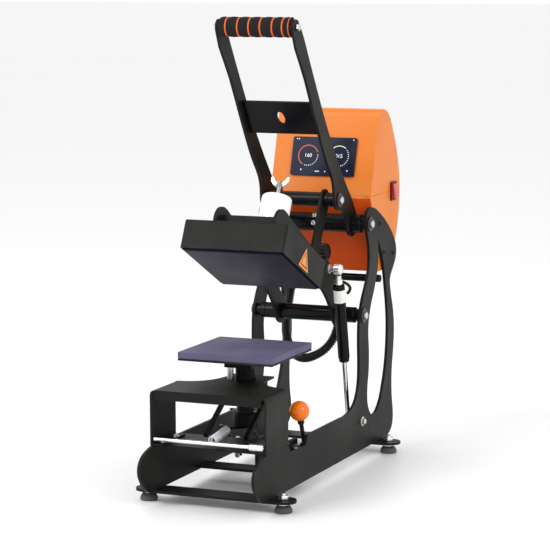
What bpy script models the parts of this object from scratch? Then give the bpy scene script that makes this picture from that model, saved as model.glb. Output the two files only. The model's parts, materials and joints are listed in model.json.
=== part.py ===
"""Small clamshell heat press with a lift-off square platen, a gas strut and a tilted control box.

X is the width, with the operator's right at +X. The operator stands at -Y, and Z is up. The origin
lies on the bench, below the middle of the machine. Sizes are in millimetres until MM turns them
into metres. The head's pieces are laid out for the closed press and then tilted open as one.
"""
import math

import bmesh
import bpy
from mathutils import Matrix, Vector

MM = 0.001
GAP = 0.3                      # clearance between pieces that touch

# driving dimensions
FRAME_HALF = 91.0              # outer faces of the side plates
PLATE = 4.5                    # side plate thickness
INNER = FRAME_HALF - PLATE     # inner faces of the side plates
PLATE_FOOT_Z = 19.0            # lower edge of the side plates
BAR_TOP_Z = 86.0               # upper edge of the side plates' low bar
TABLE_Z = 167.4                # top of the table bridge
TABLE_FRONT = -253.0
TABLE_BACK = -173.0
PLATEN = 150.0                 # square lower platen
PLATEN_Y = -118.0
PAD_Z = 214.0                  # top of the silicone pad
PAD_THICK = 9.5
PLATEN_THICK = 3.0
HEAD_HALF = 81.5               # half the heater housing, both ways
HEAD_Y = -115.0
HEAD_RIM_Z = 217.4
HEAD_TOP_Z = 261.8

# pivots as (y, z)
ARM_HINGE = (129.0, 230.0)
HANDLE_PIVOT = (157.0, 369.5)
LINK_TOP = (99.5, 411.5)       # with the press open
GRIP = (-70.0, 680.0)
LINK_LENGTH = 117.0
LINK_LEAN = -118.0             # degrees from +Y to the lower end, with the press open
STRUT_FOOT = (124.0, 64.0)
STRUT_HEAD_CLOSED = (50.0, 277.0)
HUB_Y = -68.6                  # pressure hub, with the press closed
LEVER_PIVOT = (-84.0, 62.0)
LEVER_BALL = (-105.0, 122.0)
OPEN_ANGLE = 26.5              # tilt of the head when open, degrees
DEPTH_SHIFT = Vector((0.0, -8.4, 0.0))     # brings the middle of the depth over the origin

ARM_X = 47.5                   # middle of each head arm
ARM_THICK = 5.0
HANDLE_X = 60.25               # middle of each handle arm
HANDLE_THICK = 4.5
LINK_X = 38.0
STRUT_X = 68.0
LEVER_X = 80.0
FOOT_X = 106.0
FOOT_YS = (-228.0, 202.0)

COLOURS = {                    # linear red, green, blue, then roughness and metallic
    "powder_coat_black": ((0.022, 0.022, 0.022), 0.6, 0.0),
    "orange_paint": ((0.85, 0.24, 0.03), 0.4, 0.0),
    "orange_ball": ((0.80, 0.13, 0.02), 0.2, 0.0),
    "zinc_steel": ((0.62, 0.62, 0.60), 0.3, 1.0),
    "chrome": ((0.80, 0.80, 0.80), 0.08, 1.0),
    "white_plastic": ((0.80, 0.80, 0.80), 0.35, 0.0),
    "black_plastic": ((0.012, 0.012, 0.012), 0.5, 0.0),
    "black_rubber": ((0.015, 0.015, 0.015), 0.85, 0.0),
    "silicone": ((0.11, 0.10, 0.19), 0.7, 0.0),
    "non_stick": ((0.035, 0.03, 0.055), 0.45, 0.0),
    "screen_glass": ((0.008, 0.014, 0.04), 0.1, 0.0),
    "red_plastic": ((0.55, 0.01, 0.02), 0.3, 0.0),
    "board_green": ((0.02, 0.16, 0.06), 0.5, 0.0),
    "mineral_board": ((0.60, 0.57, 0.50), 0.9, 0.0),
}


def material(name):
    """The named finish, made the first time it is asked for."""
    found = bpy.data.materials.get(name)
    if found:
        return found
    colour, roughness, metallic = COLOURS[name]
    made = bpy.data.materials.new(name)
    made.use_nodes = True
    shader = made.node_tree.nodes["Principled BSDF"]
    shader.inputs["Base Color"].default_value = (*colour, 1.0)
    shader.inputs["Roughness"].default_value = roughness
    shader.inputs["Metallic"].default_value = metallic
    return made


def collection(name):
    made = bpy.data.collections.new(name)
    bpy.context.scene.collection.children.link(made)
    return made


class Group:
    """Pieces that move together, hung on an empty on their joint's axis."""

    def __init__(self, name, pivot=(0.0, 0.0, 0.0), tilt=0.0):
        self.pivot = Vector(pivot)
        self.empty = None
        if name:
            self.empty = bpy.data.objects.new(name, None)
            self.empty.location = (self.pivot + DEPTH_SHIFT) * MM
            self.empty.rotation_euler = (math.radians(tilt), 0.0, 0.0)
            PRESS.objects.link(self.empty)

    def local(self, place):
        """A place in the machine, in millimetres, as an offset in metres for a piece hung here."""
        return (Vector(place) + (-self.pivot if self.empty else DEPTH_SHIFT)) * MM

    def add(self, piece, finish, at=(0.0, 0.0, 0.0)):
        """Hang a piece here, at a place in the machine."""
        piece.location = self.local(at)
        piece.parent = self.empty
        piece.data.materials.clear()
        piece.data.materials.append(material(finish))
        PRESS.objects.link(piece)
        return piece


def from_bmesh(name, shape, smooth=True):
    """Turn a bmesh in millimetres into an unlinked object."""
    bmesh.ops.scale(shape, vec=(MM, MM, MM), verts=shape.verts)
    mesh = bpy.data.meshes.new(name)
    shape.to_mesh(mesh)
    shape.free()
    if smooth:
        mesh.shade_smooth()
        mesh.set_sharp_from_angle(angle=math.radians(35))
    return bpy.data.objects.new(name, mesh)


def box_shape(size, at=(0.0, 0.0, 0.0)):
    shape = bmesh.new()
    bmesh.ops.create_cube(shape, size=1.0)
    bmesh.ops.scale(shape, vec=size, verts=shape.verts)
    bmesh.ops.translate(shape, vec=at, verts=shape.verts)
    return shape


def box(name, size, at=(0.0, 0.0, 0.0), round_edges=0.0, segments=2):
    """A block, centred on its origin unless at moves its mesh."""
    piece = from_bmesh(name, box_shape(size, at))
    if round_edges:
        bevel = piece.modifiers.new("rounding", "BEVEL")
        bevel.width = round_edges * MM
        bevel.segments = segments
    return piece


AXIS_TURNS = {
    "X": Matrix.Rotation(math.radians(90), 4, "Y"),
    "Y": Matrix.Rotation(math.radians(-90), 4, "X"),
    "Z": Matrix.Identity(4),
}


def rod_shape(radius, length, axis="X", at=(0.0, 0.0, 0.0), sides=24, radius_top=None):
    """A cylinder or cone along an axis, centred on a place."""
    shape = bmesh.new()
    top = radius if radius_top is None else radius_top
    bmesh.ops.create_cone(shape, cap_ends=True, segments=sides, radius1=radius, radius2=top, depth=length)
    bmesh.ops.transform(shape, matrix=AXIS_TURNS[axis], verts=shape.verts)
    bmesh.ops.translate(shape, vec=at, verts=shape.verts)
    return shape


def turned(name, profile, axis="X", sides=24, bored=False):
    """A turned piece: the profile's (radius, height) pairs run down its outer side.

    A bored piece's profile closes on itself; a solid one starts and ends on the axis.
    """
    mesh = bpy.data.meshes.new(name)
    points = [(radius * MM, 0.0, height * MM) for radius, height in profile]
    edges = [(i, i + 1) for i in range(len(points) - 1)]
    if bored:
        edges.append((len(points) - 1, 0))
    mesh.from_pydata(points, edges, [])
    piece = bpy.data.objects.new(name, mesh)
    screw = piece.modifiers.new("turning", "SCREW")
    screw.steps = sides
    screw.render_steps = sides
    screw.use_merge_vertices = True
    screw.merge_threshold = 0.00001
    piece.rotation_euler = AXIS_TURNS[axis].to_euler()
    return piece


def outline(name, loops, thickness, plane="YZ"):
    """A flat plate from closed loops, the first outside and the others its holes.

    A point is (a, b) on a smooth stretch, or (a, b, "corner") where the edge turns sharply. Its
    middle plane lies at the origin of the axis that the plane leaves out.
    """
    curve = bpy.data.curves.new(name, "CURVE")
    curve.dimensions = "2D"
    curve.fill_mode = "BOTH"
    curve.extrude = thickness * MM / 2
    curve.resolution_u = 3
    for loop in loops:
        spline = curve.splines.new("BEZIER")
        spline.bezier_points.add(len(loop) - 1)
        spline.use_cyclic_u = True
        for point, place in zip(spline.bezier_points, loop):
            point.co = (place[0] * MM, place[1] * MM, 0.0)
            kind = "VECTOR" if len(place) == 3 else "AUTO"
            point.handle_left_type = kind
            point.handle_right_type = kind
    plate = bpy.data.objects.new(name, curve)
    if plane == "YZ":
        plate.rotation_euler = (math.radians(90), 0.0, math.radians(90))
    elif plane == "XZ":
        plate.rotation_euler = (math.radians(90), 0.0, 0.0)
    return plate


def ring(centre, radius):
    """A round hole as a smooth loop, of four points where it is small."""
    count = 8 if radius > 8.0 else 4
    turns = [2 * math.pi * i / count for i in range(count)]
    return [(centre[0] + radius * math.cos(turn), centre[1] + radius * math.sin(turn)) for turn in turns]


def corners(*points):
    return [(a, b, "corner") for a, b in points]


def as_mesh(piece):
    """Replace a curve or a modified object by the mesh that it makes, place and turn included."""
    PRESS.objects.link(piece)
    bpy.context.view_layer.update()
    evaluated = piece.evaluated_get(bpy.context.evaluated_depsgraph_get())
    mesh = bpy.data.meshes.new_from_object(evaluated)
    mesh.transform(piece.matrix_world)
    shape = bmesh.new()
    shape.from_mesh(mesh)
    bmesh.ops.remove_doubles(shape, verts=shape.verts, dist=0.00001)
    shape.to_mesh(mesh)
    shape.free()
    name = piece.name
    bpy.data.objects.remove(piece)
    return bpy.data.objects.new(name, mesh)


def combined(base, others, operation="UNION"):
    """Join or cut a mesh object with others, and drop them."""
    PRESS.objects.link(base)
    for other in others:
        CUTTERS.objects.link(other)
        step = base.modifiers.new("join", "BOOLEAN")
        step.operation = operation
        step.solver = "EXACT"
        step.object = other
    bpy.context.view_layer.update()
    evaluated = base.evaluated_get(bpy.context.evaluated_depsgraph_get())
    mesh = bpy.data.meshes.new_from_object(evaluated)
    name = base.name
    for piece in [base, *others]:
        bpy.data.objects.remove(piece)
    mesh.shade_smooth()
    mesh.set_sharp_from_angle(angle=math.radians(35))
    return bpy.data.objects.new(name, mesh)


def turned_about(point, centre, degrees):
    """A (y, z) point after a turn about a centre."""
    angle = math.radians(degrees)
    y, z = point[0] - centre[0], point[1] - centre[1]
    return (centre[0] + y * math.cos(angle) - z * math.sin(angle),
            centre[1] + y * math.sin(angle) + z * math.cos(angle))


def link_bottom_open():
    """Lower pivot of the links with the press open."""
    lean = math.radians(LINK_LEAN)
    return (LINK_TOP[0] + LINK_LENGTH * math.cos(lean), LINK_TOP[1] + LINK_LENGTH * math.sin(lean))


def link_pin_closed():
    """The same pivot on the head, with the press closed."""
    return turned_about(link_bottom_open(), ARM_HINGE, OPEN_ANGLE)


# ---------------------------------------------------------------- frame

def side_plate_outline(notched):
    """The laser-cut side: toe, low bar, two legs and the crescent head they join in."""
    toe = [(-250, BAR_TOP_Z, "corner"), (-263, 83.5), (-277, 79.5), (-289, 73), (-295.5, 64.5), (-297, 55),
           (-293, 44), (-283, 32), (-272, 22.5), (-260, PLATE_FOOT_Z, "corner")]
    heel = [(226, PLATE_FOOT_Z, "corner"), (246, 23), (259, 33), (263, 50), (257, 84), (257, 123)]
    rear_leg = [(263, 154), (267, 186), (263, 219), (251, 253), (248, 272), (261, 288)]
    head = [(274, 303), (276, 320), (262, 341), (232, 365), (200, 383), (171, 394), (152, 393), (143, 383)]
    front_leg = [(145, 362), (155, 335), (156, 305), (145, 280), (127, 255), (115, 228), (112, 196),
                 (113, 150), (109, 122), (97, 102), (78, 91), (52, 86), (30, BAR_TOP_Z, "corner")]
    notch = []
    if notched:
        notch = corners((-98, BAR_TOP_Z), (-107, 72), (-163, 72), (-173, BAR_TOP_Z))
    return toe + heel + rear_leg + head + front_leg + notch


def side_plate(name, x, notched):
    slot = [(194, 343, "corner"), (195, 306), (181, 271), (159, 235), (151, 204), (154, 172), (153, 140),
            (147, 110), (150, 84), (170, 66), (197, 75), (219, 107), (233, 145), (239, 192), (237, 225),
            (228, 266), (215, 310)]
    loops = [side_plate_outline(notched), slot, ring(ARM_HINGE, 5.3), ring(HANDLE_PIVOT, 5.3)]
    loops += [ring(centre, 2.6) for centre in BOX_SCREWS]
    BASE.add(outline(name, loops, PLATE), "powder_coat_black", at=(x, 0, 0))


def table_bridge():
    """The inverted U of bent sheet that carries the platen socket on a tongue at its back."""
    sheet, bend, depth = 3.0, 7.0, TABLE_BACK - TABLE_FRONT
    foot = BAR_TOP_Z + GAP
    half, top = FRAME_HALF, TABLE_Z
    inner_half, inner_top = half - sheet, top - sheet
    flange = 15.0
    u_shape = [(-half, foot, "corner"), (-half, top - bend, "corner"), (-half + bend * 0.3, top - bend * 0.3),
               (-half + bend, top, "corner"), (half - bend, top, "corner"),
               (half - bend * 0.3, top - bend * 0.3), (half, top - bend, "corner"), (half, foot, "corner")]
    u_shape += corners((inner_half - flange, foot), (inner_half - flange, foot + sheet), (inner_half, foot + sheet),
                       (inner_half, inner_top), (-inner_half, inner_top), (-inner_half, foot + sheet),
                       (-inner_half + flange, foot + sheet), (-inner_half + flange, foot))
    arch = outline("table_bridge", [u_shape], depth, plane="XZ")
    arch.location = (0.0, (TABLE_FRONT + TABLE_BACK) / 2 * MM, 0.0)
    tongue_loop = [(-86, -180, "corner"), (-86, -172, "corner"), (-66, -167), (-47, -152), (-36, -128),
                   (-33, -88, "corner"), (33, -88, "corner"), (36, -128), (47, -152), (66, -167),
                   (86, -172, "corner"), (86, -180, "corner")]
    bore = ring((0.0, PLATEN_Y), 12.4)
    tongue = outline("tongue", [tongue_loop, bore], sheet - 0.02, plane="XY")
    tongue.location = (0.0, 0.0, (TABLE_Z - sheet / 2) * MM)
    lip = box("lip", (166.0, sheet, 13.0), at=(0.0, TABLE_FRONT + sheet / 2 + 0.01, TABLE_Z - 7.5))
    stays = [stay(side * 32.0) for side in (-1, 1)]
    joined = combined(as_mesh(arch), [as_mesh(tongue), lip, *stays])
    BASE.add(joined, "powder_coat_black")


def stay(x):
    """A bent bar that props the tongue: down from below it, then forward to just above the deck."""
    thick, low, knee, high = 6.0, (-191.0, 93.0), (-119.0, 137.0), TABLE_Z - 1.5
    reach = Vector((0.0, knee[0] - low[0], knee[1] - low[1]))
    slope = box_shape((thick, reach.length, thick))
    bmesh.ops.rotate(slope, cent=(0, 0, 0), matrix=Matrix.Rotation(math.atan2(reach.z, reach.y), 3, "X"),
                     verts=slope.verts)
    bmesh.ops.translate(slope, vec=(x, (knee[0] + low[0]) / 2, (knee[1] + low[1]) / 2), verts=slope.verts)
    post = box("post", (thick - 0.4, thick, high - knee[1]), at=(x, knee[0] - 1.0, (high + knee[1]) / 2))
    return combined(from_bmesh("stay", slope), [post])


def foot_bar(name, y):
    """A flat strip across the bottom with a round tab for a levelling foot at each end."""
    half_width = 19.0
    loop = [(-FOOT_X, y - half_width, "corner"), (FOOT_X, y - half_width, "corner"),
            (FOOT_X + 13.4, y - 13.4), (FOOT_X + half_width, y), (FOOT_X + 13.4, y + 13.4),
            (FOOT_X, y + half_width, "corner"), (-FOOT_X, y + half_width, "corner"),
            (-FOOT_X - 13.4, y + 13.4), (-FOOT_X - half_width, y), (-FOOT_X - 13.4, y - 13.4)]
    holes = [ring((-FOOT_X, y), 4.4), ring((FOOT_X, y), 4.4)]
    BASE.add(outline(name, [loop, *holes], 4.0, plane="XY"), "powder_coat_black", at=(0, 0, PLATE_FOOT_Z - GAP - 2.0))


def levelling_foot(name, x, y):
    """A rubber-soled foot whose stud passes the bar and carries its nut on top."""
    bar_low = PLATE_FOOT_Z - GAP - 4.0
    bar_high = PLATE_FOOT_Z - GAP
    profile = [(0, 28.0), (4.0, 28.0), (4.0, 26.5), (7.0, 26.5), (7.0, bar_high + GAP), (4.0, bar_high + GAP),
               (4.0, bar_low - GAP), (7.0, bar_low - GAP), (7.0, 10.0), (10.5, 9.5), (13.0, 3.0), (13.0, 0.8),
               (12.0, 0.0), (0, 0)]
    BASE.add(turned(name, profile, "Z", 16), "black_rubber", at=(x, y, 0))


def frame():
    side_plate("left_side_plate", -(FRAME_HALF - PLATE / 2), False)
    side_plate("right_side_plate", FRAME_HALF - PLATE / 2, True)
    table_bridge()
    deck = box("deck_plate", (2 * (INNER - GAP), 85.0, 3.0), round_edges=0.4, segments=1)
    BASE.add(deck, "powder_coat_black", at=(0, -197.5, BAR_TOP_Z - 1.5))
    foot_bar("front_foot_bar", FOOT_YS[0])
    foot_bar("rear_foot_bar", FOOT_YS[1])
    for end, y in zip(("front", "rear"), FOOT_YS):
        for hand, side in (("left", -1), ("right", 1)):
            levelling_foot(f"foot_{end}_{hand}", side * FOOT_X, y)
    mid_crossbar()
    for name, centre, radius in (("arm_hinge_shaft", ARM_HINGE, 10.0), ("handle_pivot_shaft", HANDLE_PIVOT, 12.0)):
        cross_shaft(name, centre, radius)
        for hand, side in (("left", -1), ("right", 1)):
            shaft_bolt(f"{name.replace('shaft', 'bolt')}_{hand}", centre, side)
    tie = turned("rear_tie_rod", solid_rod(6.0, 2 * (INNER - GAP)), "X", 20)
    BASE.add(tie, "powder_coat_black", at=(0, 217.0, 276.0))
    anchor = turned("spring_anchor_rod", solid_rod(3.0, 2 * (INNER - GAP)), "X", 16)
    BASE.add(anchor, "zinc_steel", at=(0, -250.0, 95.5))


def solid_rod(radius, length, chamfer=0.6):
    half = length / 2
    return [(0, half), (radius - chamfer, half), (radius, half - chamfer), (radius, -half + chamfer),
            (radius - chamfer, -half), (0, -half)]


def cross_shaft(name, centre, radius):
    """A tube between the side plates, with a slimmer shoulder at each end for its bolt."""
    half, shoulder, bore = INNER - GAP, INNER - 14.0, 5.0
    neck = radius - 2.5
    profile = [(bore, half), (neck, half), (neck, shoulder), (radius, shoulder), (radius, -shoulder),
               (neck, -shoulder), (neck, -half), (bore, -half)]
    BASE.add(turned(name, profile, "X", 24, bored=True), "powder_coat_black", at=(0, *centre))


def shaft_bolt(name, centre, side):
    """A cap bolt with its washer, screwed into the end of a cross shaft."""
    face = FRAME_HALF + GAP
    profile = [(0, face + 7.5), (6.0, face + 7.5), (7.5, face + 6.0), (7.5, face + 2.2), (11.5, face + 2.0),
               (11.5, face), (4.6, face), (4.6, face - 22.0), (0, face - 22.0)]
    piece = turned(name, profile, "X", 16)
    if side < 0:
        piece.rotation_euler = (0.0, math.radians(-90), 0.0)
    BASE.add(piece, "zinc_steel", at=(0, *centre))


def mid_crossbar():
    """A strip across the bottom whose two upright lugs carry the release shaft."""
    strip = box("mid_crossbar", (2 * (INNER - GAP), 34.0, 4.0), at=(0, LEVER_PIVOT[0], 24.0))
    lugs = []
    for x in LUG_XS:
        lug = box("lug", (6.0, 26.0, 52.0), at=(x, LEVER_PIVOT[0], 48.0))
        bore = from_bmesh("bore", rod_shape(5.4, 20.0, "X", (x, *LEVER_PIVOT), 20))
        lugs.append(combined(lug, [bore], "DIFFERENCE"))
    BASE.add(combined(strip, lugs), "powder_coat_black")


def platen_socket():
    """The clamp under the tongue that takes the platen's post: a neck over a wider body."""
    low, step, top = 96.0, 116.0, TABLE_Z - 3.0 - GAP
    profile = [(9.0, top), (18.0, top), (18.0, top - 3.0), (13.0, top - 3.0), (13.0, step), (19.0, step - 0.5),
               (19.0, low), (9.0, low)]
    body = as_mesh(turned("platen_socket", profile, "Z", 24, bored=True))
    pin = from_bmesh("pin", rod_shape(2.5, 50.0, "X", (0, 0, step + 3.0), 12))
    clear = from_bmesh("clear", rod_shape(8.7, 90.0, "Z", (0, 0, 130.0), 28))
    pins = combined(pin, [clear], "DIFFERENCE")
    BASE.add(combined(body, [pins]), "powder_coat_black", at=(0, PLATEN_Y, 0))


# ---------------------------------------------------------------- control box

BOX_HALF = INNER - 1.5
BOX_SEAM_Z = 410.0
BOX_FRONT_FOOT = (176.0, 407.0)        # where the leaning front meets the chin
BOX_FRONT_TOP = (215.0, 540.0)
BOX_SCREWS = ((202.5, 366.0), (221.0, 318.0), (262.0, 312.0))
SWITCH = (275.0, 410.0)
INLET_TURN = -12.0                     # the inlet lies on the back's slope, degrees
BOX_SIDE = [(208, 288, "corner"), (*BOX_FRONT_FOOT, "corner"), (212.5, 532, "corner"), (217, 540), (226, 543),
            (238, 542), (257, 534), (280, 501), (298, 464), (307, 426), (307, 394), (299, 355), (284, 322),
            (268, 288, "corner")]


def box_shell(name, keep_above):
    """One half of the box: the closed form given its wall, then cut at the seam."""
    form = as_mesh(outline(name, [BOX_SIDE], 2 * BOX_HALF))
    wall = form.modifiers.new("wall", "SOLIDIFY")
    wall.thickness = 2.0 * MM
    wall.offset = -1.0
    wall.use_even_offset = True
    edge = BOX_SEAM_Z + (GAP / 2 if keep_above else -GAP / 2)
    middle = edge + (200.0 if keep_above else -200.0)
    half_space = from_bmesh("half_space", box_shape((400.0, 400.0, 400.0), (0.0, 240.0, middle)))
    BASE.add(combined(as_mesh(form), [half_space], "INTERSECT"), "orange_paint")


def control_box():
    box_shell("control_box_upper", True)
    box_shell("control_box_lower", False)
    rise = BOX_FRONT_TOP[1] - BOX_FRONT_FOOT[1]
    lean = math.atan2(BOX_FRONT_TOP[0] - BOX_FRONT_FOOT[0], rise)
    middle = 469.0
    run = BOX_FRONT_FOOT[0] + (middle - BOX_FRONT_FOOT[1]) * math.tan(lean)
    screen = box("display_screen", (108.0, 2.0, 62.0), round_edges=0.8)
    screen.rotation_euler = (-lean, 0.0, 0.0)
    BASE.add(screen, "screen_glass", at=(0, run - 2.6, middle))
    board = box("circuit_board", (120.0, 1.6, 84.0))
    board.rotation_euler = (-lean, 0.0, 0.0)
    BASE.add(board, "board_green", at=(0, run + 14.0, middle))
    face = BOX_HALF + GAP
    rim = box_shape((2.4, 24.0, 30.0))
    opening = from_bmesh("opening", box_shape((10.0, 18.6, 24.6)))
    switch_frame = combined(from_bmesh("switch_frame", rim), [opening], "DIFFERENCE")
    BASE.add(switch_frame, "black_plastic", at=(face + 1.2, *SWITCH))
    inlet = box("power_inlet", (30.0, 6.0, 24.0), at=(0, 3.0, 0), round_edges=1.0)
    socket = from_bmesh("socket", box_shape((24.0, 8.0, 17.0), (0, 6.0, 0)))
    hollowed = combined(inlet, [socket], "DIFFERENCE")
    hollowed.rotation_euler = (math.radians(INLET_TURN), 0.0, 0.0)
    BASE.add(hollowed, "black_plastic", at=(40.0, 305.6, 372.0))


def rocker():
    group = Group("rocker_pivot", (BOX_HALF + 1.5, *SWITCH))
    cap = box("power_rocker", (5.0, 17.6, 23.0), round_edges=1.2)
    cap.rotation_euler = (0.0, math.radians(-7), 0.0)
    group.add(cap, "red_plastic", at=(BOX_HALF + 4.3, *SWITCH))


# ---------------------------------------------------------------- heating head

def head_arm_outline():
    pin = link_pin_closed()
    top = [(-165, HEAD_TOP_Z + GAP, "corner"), (-170, 274), (-166, 288), (-156, 297), (-143, 299.5),
           (-122, 297, "corner"), (20, 283, "corner"), (34, 287), (50, 290), (66, 286), (84, 274), (104, 258)]
    hinge = [(135, 249), (148, 232), (143, 216), (129, 211), (114, 215), (95, 228)]
    low = [(64, 240), (pin[0] + 14, pin[1] - 18), (pin[0] - 6, pin[1] - 19), (-22, 249),
           (-31, HEAD_TOP_Z + GAP, "corner")]
    return [top + hinge + low, ring(ARM_HINGE, 10.3), ring(pin, 6.3), ring(STRUT_HEAD_CLOSED, 4.3)]


def heating_head():
    for hand, side in (("left", -1), ("right", 1)):
        arm = outline(f"{hand}_head_arm", head_arm_outline(), ARM_THICK)
        HEAD.add(arm, "powder_coat_black", at=(side * ARM_X, 0, 0))
    between = 2 * (ARM_X - ARM_THICK / 2 - GAP)
    cross = box("head_cross_plate", (between, 4.0, 25.0), round_edges=0.6, segments=1)
    HEAD.add(cross, "powder_coat_black", at=(0, -148, HEAD_TOP_Z + GAP + 12.5))
    saddle = box("hub_saddle", (between, 64.0, 4.0), round_edges=0.6, segments=1)
    HEAD.add(saddle, "powder_coat_black", at=(0, HUB_Y, HEAD_TOP_Z + GAP + 2.0))
    pressure_hub()
    heater()
    pin = link_pin_closed()
    reach = ARM_X + ARM_THICK / 2 + GAP
    profile = [(0, reach + 5), (8, reach + 5), (9, reach + 4), (9, reach), (6, reach), (6, -reach), (9, -reach),
               (9, -reach - 4), (8, -reach - 5), (0, -reach - 5)]
    HEAD.add(turned("link_lower_pin", profile, "X", 16), "zinc_steel", at=(0, *pin))
    stud_profile = [(0, STRUT_X + 3.5), (2.5, STRUT_X + 3.0), (4.2, STRUT_X), (2.8, STRUT_X - 4.0),
                    (2.8, reach + 7), (7.5, reach + 7), (7.5, reach), (4, reach), (4, reach - 10), (0, reach - 10)]
    HEAD.add(turned("strut_ball_stud", stud_profile, "X", 16), "zinc_steel", at=(0, *STRUT_HEAD_CLOSED))
    gland()


def pressure_hub():
    """The tall capped cylinder over the head, bored for the wing screw."""
    foot, top = HEAD_TOP_Z + 2 * GAP + 4.0, 348.5
    profile = [(4.0, top), (17.0, top), (21.5, top - 1.5), (23.0, top - 5.0), (23.0, foot), (4.0, foot)]
    HEAD.add(turned("pressure_hub", profile, "Z", 28, bored=True), "white_plastic", at=(0, HUB_Y, 0))


def heater():
    """The open-bottomed housing, the hot plate that stands out of it, and the board between."""
    size = 2 * HEAD_HALF
    height = HEAD_TOP_Z - HEAD_RIM_Z
    shape = box_shape((size, size, height))
    floor = [face for face in shape.faces if face.normal.z < -0.5]
    bmesh.ops.delete(shape, geom=floor, context="FACES_ONLY")
    rounded = [edge for edge in shape.edges if not edge.is_boundary]
    bmesh.ops.bevel(shape, geom=rounded, offset=3.0, offset_type="OFFSET", segments=3, profile=0.5,
                    affect="EDGES", material=-1)
    housing = from_bmesh("heater_housing", shape)
    wall = housing.modifiers.new("wall", "SOLIDIFY")
    wall.thickness = 1.6 * MM
    wall.offset = -1.0
    wall.use_even_offset = True
    HEAD.add(housing, "powder_coat_black", at=(0, HEAD_Y, HEAD_RIM_Z + height / 2))
    plate_half, plate_low, plate_high = 77.0, PAD_Z + 0.5, PAD_Z + 15.0
    plate = box("heater_plate", (2 * plate_half, 2 * plate_half, plate_high - plate_low), round_edges=1.5)
    HEAD.add(plate, "non_stick", at=(0, HEAD_Y, (plate_low + plate_high) / 2))
    board_high = HEAD_TOP_Z - 1.6 - GAP
    board = box("insulation_board", (148.0, 148.0, board_high - plate_high - GAP))
    HEAD.add(board, "mineral_board", at=(0, HEAD_Y, (board_high + plate_high + GAP) / 2))


GLAND = (23.4, 81.6, 314.0)            # on the head, with the press closed


def gland():
    """The lead's gland behind the head, on an angle bracket bolted to the right arm."""
    reach = ARM_X - ARM_THICK / 2 - GAP
    upright_x = GLAND[0] - 14.0
    shelf = box("gland_bracket", (reach - upright_x, 18.0, 3.0), at=((reach + upright_x) / 2, GLAND[1], 268.0))
    upright = box("upright", (3.0, 22.0, 65.0), at=(upright_x + 1.5, GLAND[1], 299.5))
    HEAD.add(combined(shelf, [upright]), "powder_coat_black")
    low, high = upright_x + 3.0 + GAP, GLAND[0] + 12.0
    profile = [(0, high), (10.0, high), (13.0, high - 3.0), (14.5, high - 9.0), (14.5, low + 4.0),
               (11.0, low + 2.5), (11.0, low), (0, low)]
    HEAD.add(turned("head_gland", profile, "X", 20), "black_plastic", at=(0, GLAND[1], GLAND[2]))


def wing_nut():
    """The pressure screw with its two raised wings."""
    top = 348.5
    pivot = (0.0, HUB_Y, top)
    closed = Vector(pivot)
    opened = turned_about((closed.y, closed.z), ARM_HINGE, -OPEN_ANGLE)
    group = Group("wing_pivot", (0.0, *opened), -OPEN_ANGLE)
    group.pivot = closed
    screw = from_bmesh("wing_nut", rod_shape(3.0, 56.0, "Z", (0, 0, -12.0), 16))
    nut = from_bmesh("nut", rod_shape(7.0, 8.0, "Z", (0, 0, 19.0), 16, radius_top=5.0))
    wings = []
    for side in (-1, 1):
        wing = as_mesh(outline("wing", [[(side * 2.0, 15.5, "corner"), (side * 7.0, 16.0), (side * 13.0, 22.0),
                                         (side * 15.0, 29.0), (side * 12.0, 31.5), (side * 8.5, 28.0),
                                         (side * 2.0, 22.0, "corner")]], 3.0, plane="XZ"))
        wings.append(wing)
    group.add(combined(screw, [nut, *wings]), "zinc_steel", at=pivot)


# ---------------------------------------------------------------- handle and links

def handle_arm_outline():
    grip = [(GRIP[0] - 10, GRIP[1] - 6), (GRIP[0] - 8, GRIP[1] + 8), (GRIP[0] + 5, GRIP[1] + 11),
            (GRIP[0] + 15, GRIP[1] + 2)]
    back = [(-39, 662, "corner"), (3, 597), (56, 520), (112, 452), (138, 424), (166, 393), (177, 370)]
    pivot = [(170, 354), (155, 349), (141, 356), (134, 374), (117, 392)]
    front = [(102, 395), (86, 402), (82, 416), (80, 432), (74, 446), (50, 475), (23, 514), (-32, 602)]
    return [grip + back + pivot + front, ring(HANDLE_PIVOT, 12.3), ring(LINK_TOP, 5.3), ring(GRIP, 4.3)]


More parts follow.
